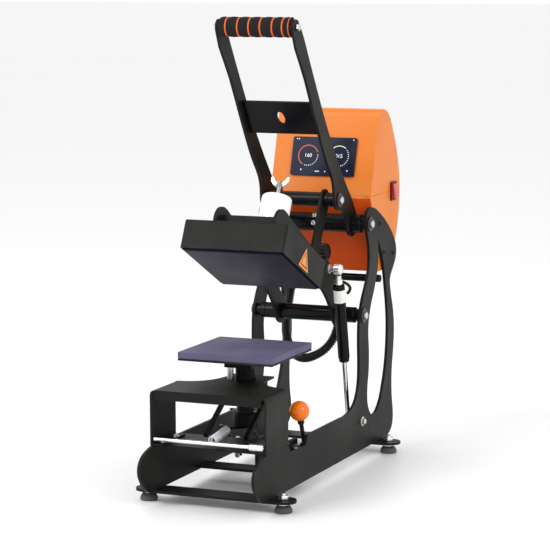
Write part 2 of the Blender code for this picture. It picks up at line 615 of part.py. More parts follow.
def handle():
    for hand, side in (("left", -1), ("right", 1)):
        arm = outline(f"{hand}_handle_arm", handle_arm_outline(), HANDLE_THICK)
        HANDLE.add(arm, "powder_coat_black", at=(side * HANDLE_X, 0, 0))
    inside = HANDLE_X - HANDLE_THICK / 2 - GAP
    outside = HANDLE_X + HANDLE_THICK / 2 + GAP
    plate_loop = corners((-inside, -29), (inside, -29), (inside, 29), (-inside, 29))
    slot = [(-5, -6), (0, -11), (5, -6), (5, 6), (0, 11), (-5, 6)]
    cross = outline("handle_cross_plate", [plate_loop, slot], 4.0, plane="XZ")
    cross.rotation_euler = (math.radians(90 + 32), 0.0, 0.0)
    HANDLE.add(cross, "powder_coat_black", at=(0, 21.0, 542.0))
    grip_rod = [(0, outside + 5), (7, outside + 5), (7, outside), (4, outside), (4, inside), (9, inside),
                (9, -inside), (4, -inside), (4, -outside), (7, -outside), (7, -outside - 5), (0, -outside - 5)]
    HANDLE.add(turned("grip_bar", grip_rod, "X", 14), "zinc_steel", at=(0, *GRIP))
    half = inside - 1.0
    foam = [(9.3, half), (13.5, half), (15.0, half - 2.5), (15.0, -half + 2.5), (13.5, -half), (9.3, -half)]
    HANDLE.add(turned("foam_grip", foam, "X", 20, bored=True), "black_rubber", at=(0, *GRIP))
    shaft = [(0, outside + 6), (7.5, outside + 6), (7.5, outside + 2.4), (11.5, outside + 2.2), (11.5, outside),
             (5, outside), (5, inside), (11, inside), (11, -inside), (5, -inside), (5, -outside),
             (11.5, -outside), (11.5, -outside - 2.2), (7.5, -outside - 2.4), (7.5, -outside - 6),
             (0, -outside - 6)]
    HANDLE.add(turned("link_shaft", shaft, "X", 20), "powder_coat_black", at=(0, *LINK_TOP))


def links():
    """Two plates from the handle's shaft to the head's pin, whose lower eyes leave it room."""
    low = link_bottom_open()
    along = Vector((low[0] - LINK_TOP[0], low[1] - LINK_TOP[1])).normalized()
    across = Vector((-along.y, along.x))

    def at(distance, offset):
        point = Vector(LINK_TOP) + along * distance + across * offset
        return (point.x, point.y)

    loop = [at(-16, 0), at(-11, 12), at(4, 16), at(LINK_LENGTH / 2, 13.5), at(LINK_LENGTH - 2, 16),
            at(LINK_LENGTH + 12, 11), at(LINK_LENGTH + 16, 0), at(LINK_LENGTH + 12, -11),
            at(LINK_LENGTH - 2, -16), at(LINK_LENGTH / 2, -13.5), at(4, -16), at(-11, -12)]
    for hand, side in (("left", -1), ("right", 1)):
        plate = outline(f"{hand}_link_plate", [loop, ring(LINK_TOP, 11.3), ring(low, 9.6)], 4.0)
        LINKS.add(plate, "powder_coat_black", at=(side * LINK_X, 0, 0))


# ---------------------------------------------------------------- gas strut

def gas_strut():
    """A rod pinned to the right side plate, and a cylinder with a socket on the head's ball stud."""
    head = turned_about(STRUT_HEAD_CLOSED, ARM_HINGE, -OPEN_ANGLE)
    reach = Vector((head[0] - STRUT_FOOT[0], head[1] - STRUT_FOOT[1]))
    length = reach.length
    lean = math.degrees(math.atan2(-reach.x, reach.y))
    pin = [(0, INNER - GAP), (6, INNER - GAP), (6, STRUT_X + 5.5), (3.7, STRUT_X + 5.5), (3.7, STRUT_X - 4.5),
           (6.5, STRUT_X - 4.5), (6.5, STRUT_X - 8), (0, STRUT_X - 8)]
    BASE.add(turned("strut_lower_pin", pin, "X", 20), "zinc_steel", at=(0, *STRUT_FOOT))
    group = Group("strut_pivot", (STRUT_X, *STRUT_FOOT), lean)
    group.pivot = Vector((STRUT_X, 0.0, 0.0))
    rod = from_bmesh("strut_rod", rod_shape(3.6, 162.0, "Z", (0, 0, 88.0), 20))
    eye = from_bmesh("eye", rod_shape(8.5, 8.0, "X", (0, 0, 0), 24))
    hole = from_bmesh("hole", rod_shape(4.0, 12.0, "X", (0, 0, 0), 24))
    group.add(combined(combined(rod, [eye]), [hole], "DIFFERENCE"), "chrome", at=(STRUT_X, 0, 0))
    low, high = 98.0, length - 26.0
    barrel = [(0, high + 14), (4.5, high + 14), (5, high + 5), (8.4, high + 4), (9, high), (9, low + 2), (8, low),
              (4.2, low), (4.2, low + 120), (0, low + 120)]
    cylinder = as_mesh(turned("strut_cylinder", barrel, "Z", 20))
    socket = from_bmesh("socket", rod_shape(8.4, 11.0, "X", (0, 0, length), 20))
    room = from_bmesh("room", rod_shape(5.9, 16.0, "X", (0, 0, length), 20))
    neck = from_bmesh("neck", rod_shape(4.0, 10.0, "Z", (0, 0, length - 10.5), 16))
    joined = combined(combined(cylinder, [neck, socket]), [room], "DIFFERENCE")
    group.add(joined, "black_plastic", at=(STRUT_X, 0, 0))


# ---------------------------------------------------------------- lower platen and its release

def lower_platen():
    group = Group("platen_lift", (0.0, PLATEN_Y, TABLE_Z))
    pad_low = PAD_Z - PAD_THICK
    pad = box("silicone_pad", (PLATEN, PLATEN, PAD_THICK), round_edges=1.0)
    group.add(pad, "silicone", at=(0, PLATEN_Y, pad_low + PAD_THICK / 2))
    plate_high = pad_low - GAP
    plate = box("lower_platen", (PLATEN, PLATEN, PLATEN_THICK), round_edges=0.6, segments=1)
    group.add(plate, "powder_coat_black", at=(0, PLATEN_Y, plate_high - PLATEN_THICK / 2))
    block_high = plate_high - PLATEN_THICK - GAP
    block = box("platen_post", (44.0, 56.0, 14.0), at=(0, 0, block_high - 7.0))
    foot = TABLE_Z + GAP
    collar_height = block_high - 14.0 - foot
    collar = from_bmesh("collar", rod_shape(15.0, collar_height + 1.0, "Z", (0, 0, foot + collar_height / 2 + 0.5)))
    post = from_bmesh("post", rod_shape(8.4, foot - 100.0 + 2.0, "Z", (0, 0, (foot + 100.0) / 2 + 1.0)))
    guide = from_bmesh("guide", rod_shape(3.5, collar_height + 1.0, "Z", (-17.0, -17.0, foot + collar_height / 2 + 0.5), 12))
    slot = from_bmesh("slot", box_shape((20.0, 5.6, 26.0), (0, 0, 108.0)))
    joined = combined(combined(block, [collar, post, guide]), [slot], "DIFFERENCE")
    group.add(joined, "powder_coat_black", at=(0, PLATEN_Y, 0))


LUG_XS = (8.0, 60.0)
CRANK_X = 22.5                         # bail legs, beside the socket
CRANK_RADIUS = 16.0


def platen_release():
    """The ball lever on its cross shaft, the wire bail it pulls, and the bail's return spring."""
    group = Group("lever_pivot", (0.0, *LEVER_PIVOT))
    shaft = from_bmesh("release_shaft", rod_shape(5.0, 118.0, "X", (27.0, 0, 0), 20))
    cranks = []
    for x in (-CRANK_X - 6.0, CRANK_X + 6.0):
        crank = as_mesh(outline("crank", [[(-8, 0), (-5, 8), (5, 8), (8, 0), (6, -CRANK_RADIUS - 3),
                                           (0, -CRANK_RADIUS - 7), (-6, -CRANK_RADIUS - 3)]], 4.0))
        crank.location = (x * MM, 0.0, 0.0)
        cranks.append(as_mesh(crank))
    group.add(combined(shaft, cranks), "zinc_steel", at=(0, *LEVER_PIVOT))
    reach = Vector((0.0, LEVER_BALL[0] - LEVER_PIVOT[0], LEVER_BALL[1] - LEVER_PIVOT[1]))
    lean = math.atan2(-reach.y, reach.z)
    stem = from_bmesh("release_lever", rod_shape(3.2, reach.length - 16.0, "Z", (0, 0, (reach.length - 2.0) / 2), 16))
    boss = from_bmesh("boss", rod_shape(9.0, 11.0, "X", (0, 0, 0), 20))
    bore = from_bmesh("bore", rod_shape(5.3, 16.0, "X", (0, 0, 0), 20))
    lever = combined(combined(boss, [stem]), [bore], "DIFFERENCE")
    lever.name = "release_lever"
    lever.rotation_euler = (lean, 0.0, 0.0)
    group.add(lever, "zinc_steel", at=(LEVER_X, *LEVER_PIVOT))
    ball = bmesh.new()
    bmesh.ops.create_uvsphere(ball, u_segments=16, v_segments=10, radius=15.0)
    ball_piece = from_bmesh("lever_ball", ball)
    hollow = from_bmesh("hollow", rod_shape(3.5, 16.0, "Z", (0, 0, -12.0), 16))
    knob = combined(ball_piece, [hollow], "DIFFERENCE")
    knob.rotation_euler = (lean, 0.0, 0.0)
    group.add(knob, "orange_ball", at=(LEVER_X, *LEVER_BALL))
    bail()
    spring()


def bail():
    """A bent wire round the socket: two legs from the cranks that meet at the spring's hook."""
    foot = (LEVER_PIVOT[0], LEVER_PIVOT[1] - CRANK_RADIUS - 1.0)
    path = [(-CRANK_X - 2.0, foot[0], foot[1]), (-CRANK_X, foot[0] - 2.0, foot[1]), (-CRANK_X, -112.0, 68.0),
            (-CRANK_X, -138.0, 92.0), (-CRANK_X, -158.0, 103.0), (-10.0, -172.0, 104.0), (0.0, -176.0, 104.0),
            (10.0, -172.0, 104.0), (CRANK_X, -158.0, 103.0), (CRANK_X, -138.0, 92.0), (CRANK_X, -112.0, 68.0),
            (CRANK_X, foot[0] - 2.0, foot[1]), (CRANK_X + 2.0, foot[0], foot[1])]
    wire(BAIL, "lock_bail", path, 1.6, "zinc_steel", 2)


def wire(group, name, path, radius, finish, resolution):
    """A round wire or tube through the points of a path, smoothed."""
    curve = bpy.data.curves.new(name, "CURVE")
    curve.dimensions = "3D"
    curve.bevel_depth = radius * MM
    curve.bevel_resolution = resolution
    curve.use_fill_caps = True
    points = smooth_path([Vector(point) for point in path], max(2, int(round(8.0 / radius / 2))))
    spline = curve.splines.new("POLY")
    spline.points.add(len(points) - 1)
    for point, place in zip(spline.points, points):
        point.co = (*group.local(place), 1.0)
    tube = bpy.data.objects.new(name, curve)
    tube.parent = group.empty
    curve.materials.append(material(finish))
    PRESS.objects.link(tube)
    return tube


def smooth_path(points, steps):
    """Points on a Catmull-Rom curve through the given ones."""
    ends = [2 * points[0] - points[1], *points, 2 * points[-1] - points[-2]]
    result = []
    for i in range(1, len(ends) - 2):
        before, start, end, after = ends[i - 1:i + 3]
        for step in range(steps):
            t = step / steps
            result.append(0.5 * (2 * start + (end - before) * t + (2 * before - 5 * start + 4 * end - after) * t ** 2
                                 + (3 * start - before - 3 * end + after) * t ** 3))
    result.append(points[-1])
    return result


def spring():
    """The return spring's outer form between the anchor rod and the bail."""
    start, end = Vector((0.0, -246.2, 96.0)), Vector((0.0, -178.5, 103.6))
    middle, reach = (start + end) / 2, end - start
    body = [(0, 34.0), (2.2, 33.8), (2.2, 25.5), (6.9, 25.0), (6.9, -25.0), (2.2, -25.5), (2.2, -33.8), (0, -34.0)]
    piece = turned("release_spring", body, "Z", 16)
    piece.rotation_euler = (math.atan2(reach.z, reach.y) - math.pi / 2, 0.0, 0.0)
    BASE.add(piece, "zinc_steel", at=middle)


# ---------------------------------------------------------------- heater lead

CONDUIT = [(24.0, 130.5, 305.5), (26.0, 138.0, 292.0), (31.0, 149.0, 270.0), (35.0, 158.0, 242.0),
           (35.5, 164.0, 213.0), (29.0, 161.0, 187.0), (17.0, 156.0, 169.0), (0.0, 153.0, 157.5),
           (-18.0, 155.0, 152.0), (-36.0, 163.0, 154.0), (-54.0, 178.0, 166.0), (-68.0, 198.0, 188.0),
           (-74.0, 218.0, 214.0), (-75.0, 232.0, 240.0), (-72.0, 237.0, 264.0), (-70.0, 238.0, 287.4)]


def heater_conduit():
    """The corrugated lead that hangs from the head's gland and rises into the control box."""
    wire(BASE, "heater_conduit", CONDUIT, 6.5, "black_rubber", 2)


for old in list(bpy.data.objects):
    bpy.data.objects.remove(old)
PRESS = collection("label_heat_press")
CUTTERS = collection("cutters")
BASE = Group(None)
HEAD = Group("head_hinge", (0.0, *ARM_HINGE), -OPEN_ANGLE)
HANDLE = Group("handle_hinge", (0.0, *HANDLE_PIVOT))
LINKS = Group("link_hinge", (0.0, *LINK_TOP))
BAIL = Group("bail_slide", (0.0, *LEVER_PIVOT))
frame()
platen_socket()
control_box()
rocker()
heating_head()
wing_nut()
handle()
links()
gas_strut()
lower_platen()
platen_release()
heater_conduit()
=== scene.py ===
"""Small clamshell label press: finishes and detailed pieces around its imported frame.

Lengths are millimetres unless said otherwise. X is the width, Y the depth away from the operator,
and Z is up. Pieces of the head are laid out for the closed press and tilted open as one.
"""
import json
import logging
import math
from dataclasses import dataclass
from enum import Enum
from typing import Iterable, Sequence

import bmesh
import bpy
from mathutils import Matrix, Vector


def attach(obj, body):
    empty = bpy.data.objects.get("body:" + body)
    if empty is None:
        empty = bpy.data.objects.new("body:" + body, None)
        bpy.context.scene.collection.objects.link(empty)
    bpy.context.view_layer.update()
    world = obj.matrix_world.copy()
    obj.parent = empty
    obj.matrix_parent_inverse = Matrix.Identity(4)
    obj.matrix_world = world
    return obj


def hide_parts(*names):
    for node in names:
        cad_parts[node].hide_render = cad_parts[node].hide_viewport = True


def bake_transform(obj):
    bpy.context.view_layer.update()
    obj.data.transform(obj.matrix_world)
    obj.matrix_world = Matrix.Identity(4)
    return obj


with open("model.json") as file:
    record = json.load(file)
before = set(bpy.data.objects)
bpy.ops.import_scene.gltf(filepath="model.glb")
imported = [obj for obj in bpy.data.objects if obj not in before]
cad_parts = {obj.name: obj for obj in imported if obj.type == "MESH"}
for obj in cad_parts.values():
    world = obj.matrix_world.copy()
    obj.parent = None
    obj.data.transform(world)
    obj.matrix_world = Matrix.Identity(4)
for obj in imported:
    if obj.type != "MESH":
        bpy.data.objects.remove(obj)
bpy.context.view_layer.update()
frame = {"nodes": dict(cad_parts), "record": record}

Pair = tuple[float, float]
Point = tuple[float, float, float]
Profile = Sequence[Pair]

LOG = logging.getLogger("label_press")
MM = 0.001
TURN = 2.0 * math.pi
ORIGIN: Point = (0.0, 0.0, 0.0)
STILL = Matrix.Identity(4)
UPRIGHT = Matrix.Rotation(math.radians(90.0), 4, "X")
HANDS = (("left", -1), ("right", 1))
CLEARANCE = 0.3
TINY = 0.001
COAT_ROUGHNESS = 0.08
# The values of a noise between which a finish goes over to its second tone, and its edges are rubbed.
TONE_SPREAD = (0.32, 0.68)
WEAR_SPREAD = (0.42, 0.66)
WEAR_PATCH = 9.0
MOST_WEAR = 0.8
BEHAVIOUR = frame["record"]["behaviour"]
BODY_OF = {node: body for body, nodes in BEHAVIOUR["bodies"].items() for node in nodes}


class Axis(Enum):
    """The axis that a round piece runs along, as the turn from +Z to it."""

    X = Matrix.Rotation(math.radians(90.0), 4, "Y")
    Y = Matrix.Rotation(math.radians(-90.0), 4, "X")
    Z = Matrix.Identity(4)


class Grain(Enum):
    """The procedural textures that make relief and colour variation."""

    NOISE = "ShaderNodeTexNoise"
    CELLS = "ShaderNodeTexVoronoi"


# ---------------------------------------------------------------- places

def joint(name: str) -> dict:
    """The record's row for a joint.

    Args:
        name: The joint's name in the record.

    Returns:
        Its row, with pos_m and axis.
    """
    return next(row for row in BEHAVIOUR["joints"] if row["name"] == name)


ARM_HINGE = Vector((0.0, 129.0, 230.0))
OPEN_ANGLE = 26.5
MACHINE = Matrix.Translation((0.0, joint("head_close")["pos_m"][1] / MM - ARM_HINGE.y, 0.0))


def about_hinge(degrees: float) -> Matrix:
    """A turn about the head's hinge.

    Args:
        degrees: The turn, positive from +Y towards +Z.

    Returns:
        The turn.
    """
    turn = Matrix.Rotation(math.radians(degrees), 4, "X")
    return Matrix.Translation(ARM_HINGE) @ turn @ Matrix.Translation(-ARM_HINGE)


HEAD_PLACE = MACHINE @ about_hinge(-OPEN_ANGLE)


def facing(side: int) -> Matrix:
    """The turn that points a piece drawn towards +X out of its own side.

    Args:
        side: 1 for the right side, -1 for the left.

    Returns:
        The turn.
    """
    return STILL if side > 0 else Matrix.Rotation(math.pi, 4, "Z")


def aimed(along: Vector) -> Matrix:
    """The turn from +Z to a direction.

    Args:
        along: The direction.

    Returns:
        The turn.
    """
    return along.to_track_quat("Z", "Y").to_matrix().to_4x4()


def in_metres(point: Iterable[float]) -> Point:
    """A point of the machine in the scene's metres.

    Args:
        point: The point.

    Returns:
        The same point in the scene.
    """
    return tuple((MACHINE @ Vector(point)) * MM)


def polar(radius: float, degrees: float) -> Pair:
    """A point on a circle round zero.

    Args:
        radius: The circle's radius.
        degrees: Its angle, from the first axis towards the second.

    Returns:
        Its two coordinates.
    """
    angle = math.radians(degrees)
    return (radius * math.cos(angle), radius * math.sin(angle))


def mirrored(half: Profile) -> list[Pair]:
    """A profile with two like ends.

    Args:
        half: (radius, height) pairs of its upper half, from the top down.

    Returns:
        The pairs of both halves.
    """
    other = half[:-1] if half[-1][1] == 0.0 else half
    return [*half, *((radius, -height) for radius, height in reversed(other))]


def threaded(root: float, crest: float, low: float, pitch: float, turns: int) -> list[Pair]:
    """The profile of a thread.

    Args:
        root: The radius of its grooves.
        crest: The radius of its ridges.
        low: The height of its first groove.
        pitch: The distance between its ridges.
        turns: The number of ridges.

    Returns:
        Its (radius, height) pairs.
    """
    return [pair for i in range(turns) for pair in ((root, low + i * pitch), (crest, low + 0.6 + i * pitch))]


# ---------------------------------------------------------------- finishes

def linear(code: str) -> tuple[float, float, float, float]:
    """An sRGB hex colour as linear red, green, blue and alpha.

    Args:
        code: Six hex digits after a hash.

    Returns:
        The linear colour, with alpha 1.
    """
    parts = [int(code[i:i + 2], 16) / 255.0 for i in (1, 3, 5)]
    red, green, blue = (c / 12.92 if c <= 0.04045 else ((c + 0.055) / 1.055) ** 2.4 for c in parts)
    return (red, green, blue, 1.0)


def add_node(tree: bpy.types.NodeTree, kind: str, inputs: dict, **settings: str) -> bpy.types.Node:
    """Add a node with its settings and links.

    Args:
        tree: The node tree.
        kind: The node's type name.
        inputs: Values or output sockets for its inputs, by name or number.
        settings: Attributes to set on the node before its inputs.

    Returns:
        The new node.
    """
    node = tree.nodes.new(kind)
    for key, value in settings.items():
        setattr(node, key, value)
    for key, value in inputs.items():
        if isinstance(value, bpy.types.NodeSocket):
            tree.links.new(value, node.inputs[key])
        else:
            node.inputs[key].default_value = value
    return node


@dataclass(frozen=True)
class Relief:
    """One layer of surface relief: the distance between its features, and their height."""

    grain: Grain
    size: float
    depth: float = 0.0

    def pattern(self, tree: bpy.types.NodeTree) -> bpy.types.NodeSocket:
        """The layer's height pattern, from 0 to 1, in the piece's own coordinates.

        Args:
            tree: The material's node tree.

        Returns:
            The height socket.
        """
        place = add_node(tree, "ShaderNodeTexCoord", {}).outputs["Object"]
        if self.grain is Grain.CELLS:
            inputs = {"Vector": place, "Scale": 1.0 / (self.size * MM)}
        else:
            inputs = {"Vector": place, "Scale": 0.6 / (self.size * MM), "Detail": 3.0, "Roughness": 0.55}
        return add_node(tree, self.grain.value, inputs).outputs[0]


@dataclass(frozen=True)
class Finish:
    """A real finish: its colours, gloss, relief and wear.

    patch is the size of the patches that change between its two tones and between its two values of
    roughness, and worn is the tone of its rubbed edges.
    """

    name: str
    slot: str
    tone: str
    second_tone: str
    patch: float
    roughness: Pair
    metallic: float = 0.0
    relief: tuple[Relief, ...] = ()
    worn: str = ""
    coat: float = 0.0
    glow: float = 0.0
    ior: float = 1.5

    def build(self) -> bpy.types.Material:
        """The finish as a material, made once.

        Returns:
            The material.
        """
        made = bpy.data.materials.get(self.name)
        if made:
            return made
        made = bpy.data.materials.new(self.name)
        made.use_nodes = True
        tree = made.node_tree
        shader = tree.nodes["Principled BSDF"].inputs
        patches = Relief(Grain.NOISE, self.patch).pattern(tree)
        spread = add_node(tree, "ShaderNodeMapRange", {
            "Value": patches, "From Min": TONE_SPREAD[0], "From Max": TONE_SPREAD[1]}).outputs[0]
        colour = self.blend(tree, spread, linear(self.tone), linear(self.second_tone))
        low, high = self.roughness
        rough = add_node(tree, "ShaderNodeMapRange", {
            "Value": spread, "To Min": low, "To Max": high}).outputs[0]
        if self.worn:
            colour = self.blend(tree, self.wear(tree), colour, linear(self.worn))
        tree.links.new(colour, shader["Base Color"])
        tree.links.new(rough, shader["Roughness"])
        shader["Metallic"].default_value = self.metallic
        shader["Coat Weight"].default_value = self.coat
        shader["Coat Roughness"].default_value = COAT_ROUGHNESS
        if not self.metallic:
            shader["IOR"].default_value = self.ior
        if self.glow:
            tree.links.new(colour, shader["Emission Color"])
            shader["Emission Strength"].default_value = self.glow
        normal = None
        for layer in self.relief:
            inputs = {"Height": layer.pattern(tree), "Strength": 1.0, "Distance": layer.depth * MM}
            if normal:
                inputs["Normal"] = normal
            normal = add_node(tree, "ShaderNodeBump", inputs).outputs[0]
        if normal:
            tree.links.new(normal, shader["Normal"])
        return made

    @staticmethod
    def blend(tree: bpy.types.NodeTree, share: bpy.types.NodeSocket, first: object,
              second: object) -> bpy.types.NodeSocket:
        """Mix two colours.

        Args:
            tree: The material's node tree.
            share: How much of the second colour there is.
            first: The first colour, as a value or a socket.
            second: The second one.

        Returns:
            The colour socket.
        """
        return add_node(tree, "ShaderNodeMix", {0: share, 6: first, 7: second}, data_type="RGBA").outputs[2]

    @staticmethod
    def wear(tree: bpy.types.NodeTree) -> bpy.types.NodeSocket:
        """Where hands and cloth rub the rounded edges, in uneven patches.

        Args:
            tree: The material's node tree.

        Returns:
            The socket with the amount of wear.
        """
        edge = add_node(tree, "ShaderNodeAttribute", {}, attribute_name="wear").outputs["Fac"]
        amount = add_node(tree, "ShaderNodeMapRange", {
            "Value": Relief(Grain.NOISE, WEAR_PATCH).pattern(tree), "From Min": WEAR_SPREAD[0],
            "From Max": WEAR_SPREAD[1], "To Max": MOST_WEAR}).outputs[0]
        return add_node(tree, "ShaderNodeMath", {0: edge, 1: amount}, operation="MULTIPLY").outputs[0]


# Epoxy-polyester powder coat on laser-cut steel: charcoal, with a fine orange-peel grain of about
# 1 mm that breaks up the highlights, and paler rubbed edges.
POWDER_COAT = Finish("charcoal_powder_coat", "frame_coat", "#1d1d1b", "#171715", 60.0, (0.42, 0.52), ior=1.2,
                     relief=(Relief(Grain.NOISE, 1.1, 0.08), Relief(Grain.NOISE, 0.45, 0.04)), worn="#4a4a46")
# Stoved enamel on drawn steel tube: nearly black, smoother than the plates, with a long reflection.
TUBE_ENAMEL = Finish("black_tube_enamel", "shaft_coat", "#0d0d0f", "#121214", 60.0, (0.22, 0.3), ior=1.25,
                     worn="#45464a")
# The same enamel on the flat plate between the handle's arms: a gloss black beside the satin arms.
GLOSS_PLATE = Finish("gloss_black_enamel", "frame_coat", "#0e0c0f", "#131115", 40.0, (0.2, 0.28), ior=1.22,
                     relief=(Relief(Grain.NOISE, 1.4, 0.02),), worn="#3a383c")
# Bright zinc plate on turned steel: cool grey metal with fine rings left by the tool.
ZINC_PLATE = Finish("bright_zinc_plate", "zinc_hardware", "#d9d9d6", "#bdbcb8", 6.0, (0.2, 0.38), 1.0,
                    relief=(Relief(Grain.NOISE, 0.8, 0.015),))
# Hard chrome on a ground rod: a mirror with hardly any grain.
HARD_CHROME = Finish("hard_chrome", "strut_chrome", "#e3e4e6", "#d4d5d8", 20.0, (0.05, 0.1), 1.0)
# Orange powder coat on the folded box: satin, a finer grain than the frame's, and a warm shadow tone.
ORANGE_COAT = Finish("orange_powder_coat", "box_paint", "#de7a1e", "#d9741a", 90.0, (0.32, 0.4), ior=1.36,
                     relief=(Relief(Grain.NOISE, 0.9, 0.02),), worn="#f4a65c")
# Painted shade: the same orange powder made darker and redder, for the faces of the front that look down, where
# shade falls.
ORANGE_PAINTED_SHADE = Finish("orange_coat_painted_shade", "box_paint", "#e4571a", "#dc5014", 90.0, (0.34, 0.42), ior=1.3,
                     relief=(Relief(Grain.NOISE, 0.9, 0.02),), worn="#ee7d3e")
# Phenolic ball knob: deep gloss orange with the faint flow of moulded resin.
PHENOLIC_BALL = Finish("orange_phenolic", "lever_orange", "#f2740a", "#ea6a04", 12.0, (0.1, 0.16), ior=1.42,
                       coat=0.1)
# Silicone sponge sheet: matt purple-grey with fine closed pores that catch the light from above.
SILICONE = Finish("silicone_sponge", "pad_silicone", "#585670", "#504e6a", 30.0, (0.62, 0.74), ior=1.4,
                  relief=(Relief(Grain.CELLS, 0.9, 0.05), Relief(Grain.NOISE, 2.5, 0.05)), worn="#7b7893")
# Baked non-stick coating on cast aluminium: warm purple-black satin with a light rolled texture.
NON_STICK = Finish("non_stick_coating", "heater_coating", "#1b142b", "#130e20", 70.0, (0.38, 0.48), ior=1.17,
                   relief=(Relief(Grain.NOISE, 1.6, 0.03),), worn="#3a3642")
# Enamelled pressure cap: clean white gloss that is a little warm in its hollows.
WHITE_ENAMEL = Finish("white_enamel", "hub_white", "#f6f5f2", "#efeeea", 30.0, (0.2, 0.28), coat=0.4)
# Moulded glass-filled nylon: near black with the dull bloom of short fibres.
NYLON = Finish("black_nylon", "black_plastic", "#0f0f10", "#161617", 15.0, (0.34, 0.46), ior=1.32,
               relief=(Relief(Grain.NOISE, 0.7, 0.03),), worn="#3c3c3d")
# Corrugated nylon conduit: black and slightly glossy, so every rib has its own highlight.
CONDUIT_NYLON = Finish("conduit_nylon", "conduit", "#0c0c0d", "#131314", 12.0, (0.22, 0.3), ior=1.32)
# Moulded rubber soles, with the matt bloom of floor dust.
FOOT_RUBBER = Finish("foot_rubber", "foot_rubber", "#0f1013", "#16171a", 8.0, (0.5, 0.66), ior=1.3,
                     relief=(Relief(Grain.NOISE, 0.8, 0.06),))
# Closed-cell foam sleeve: black with a fine open skin.
FOAM_BLACK = Finish("black_grip_foam", "grip_foam", "#131318", "#1b1b1f", 10.0, (0.74, 0.88), ior=1.3,
                    relief=(Relief(Grain.CELLS, 1.0, 0.12), Relief(Grain.NOISE, 0.5, 0.05)))
# The coloured bands are the same foam, dyed orange.
FOAM_ORANGE = Finish("orange_grip_foam", "grip_foam", "#de6420", "#d25a1c", 8.0, (0.7, 0.82), ior=1.3,
                     relief=(Relief(Grain.CELLS, 1.0, 0.12),))
# Gloss stoving paint of the strut's pressure tube.
STRUT_PAINT = Finish("strut_gloss_black", "strut_black", "#070708", "#0a0a0b", 30.0, (0.1, 0.16), ior=1.24)
# Patented cold-drawn spring wire: pale and clean, each coil with its own line of light.
SPRING_WIRE = Finish("drawn_spring_wire", "zinc_hardware", "#e9eaf2", "#dcdee8", 9.0, (0.3, 0.4), 0.25)
# Ground bright bar, with no grain to be seen.
BRIGHT_BAR = Finish("ground_bright_bar", "zinc_hardware", "#eeeeec", "#e2e2df", 12.0, (0.2, 0.28), 0.9)
# Dark oxide on the flat washers under the hinge bolts.
BLACK_OXIDE = Finish("black_oxide", "zinc_hardware", "#1c1b1b", "#262524", 8.0, (0.3, 0.42), ior=1.45)
# Blank coated-paper sleeve round the tube.
LABEL_PAPER = Finish("label_paper", "strut_black", "#eceae6", "#e2e0db", 8.0, (0.5, 0.62))
# Touch screen: dark navy behind a plain gloss cover glass.
SCREEN_GLASS = Finish("screen_glass", "screen", "#10182c", "#121b31", 60.0, (0.2, 0.24), ior=1.22)
SCREEN_RED = Finish("screen_red", "screen", "#d4413a", "#cf3c35", 30.0, (0.3, 0.3), glow=0.35)
SCREEN_WHITE = Finish("screen_white", "screen", "#dfe4ec", "#d8dde6", 30.0, (0.3, 0.3), glow=0.35)
SCREEN_YELLOW = Finish("screen_yellow", "screen", "#d9dba0", "#d3d598", 30.0, (0.3, 0.3), glow=0.3)
# Translucent polycarbonate rocker over its neon lamp.
SWITCH_RED = Finish("switch_polycarbonate", "switch_red", "#c41530", "#b81029", 14.0, (0.18, 0.26),
                    coat=0.4, glow=0.12)
# Plain vinyl film of the caution triangle.
VINYL_ORANGE = Finish("orange_vinyl", "frame_coat", "#e88a1c", "#e08216", 12.0, (0.4, 0.5))
VINYL_DARK = Finish("dark_vinyl", "frame_coat", "#4a3a22", "#44351f", 12.0, (0.4, 0.5))
# Pressed mineral-fibre board inside the housing.
MINERAL_BOARD = Finish("mineral_board", "insulation", "#c9c1ae", "#b8b09c", 6.0, (0.85, 0.95),
                       relief=(Relief(Grain.NOISE, 1.5, 0.2),))
# Glass-epoxy board with green solder mask.
SOLDER_MASK = Finish("green_solder_mask", "board", "#1c5c35", "#17502d", 10.0, (0.3, 0.4))


# ---------------------------------------------------------------- shaping

# Edges below these angles are shaded smooth, on drawn pieces and on eased CAD nodes.
PIECE_SMOOTH = 32.0
EASED_SMOOTH = 52.0
# Facets of the CAD mesh that meet at less than this many degrees are one flat face.
FLAT_ANGLE = 0.5


def placed(name: str, data: bpy.types.ID) -> bpy.types.Object:
    """An object in the scene.

    Args:
        name: Its name.
        data: Its mesh, curve, lamp or camera.

    Returns:
        The object.
    """
    made = bpy.data.objects.new(name, data)
    bpy.context.scene.collection.objects.link(made)
    return made


def dressed(name: str, shape: bmesh.types.BMesh, finish: Finish, body: str,
            stands_for: Iterable[str] = (), smooth: float = PIECE_SMOOTH) -> bpy.types.Object:
    """Turn a bmesh in metres, in its final place, into a piece that rides on a body.

    Args:
        name: The piece's name.
        shape: The bmesh, which is freed.
        finish: Its finish.
        body: The body that it rides on, or "" for a piece that spans two bodies and is left unattached.
        stands_for: CAD nodes that it replaces.
        smooth: Edges below this many degrees are shaded smooth.

    Returns:
        The piece.
    """
    mesh = bpy.data.meshes.new(name)
    shape.to_mesh(mesh)
    shape.free()
    mesh.shade_smooth()
    mesh.set_sharp_from_angle(angle=math.radians(smooth))
    mesh.materials.append(finish.build())
    piece = placed(name, mesh)
    if body:
        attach(piece, body)
        piece.modifiers.new("face_weights", "WEIGHTED_NORMAL").keep_sharp = True
    if stands_for:
        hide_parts(*stands_for)
    LOG.info("%s on %s", name, body or "two bodies")
    return piece


def rounded(part: bmesh.types.BMesh, edges: list[bmesh.types.BMEdge], width: float, segments: int = 2,
            clamped: bool = False) -> list[bmesh.types.BMFace]:
    """Round edges off.

    Args:
        part: The shape.
        edges: Its edges to round.
        width: The width of the rounding.
        segments: Facets across it.
        clamped: Keep neighbouring roundings from crossing.

    Returns:
        The new faces.
    """
    return bmesh.ops.bevel(part, geom=edges, offset=width, offset_type="OFFSET", segments=segments,
                           profile=0.5, affect="EDGES", material=-1, clamp_overlap=clamped)["faces"]


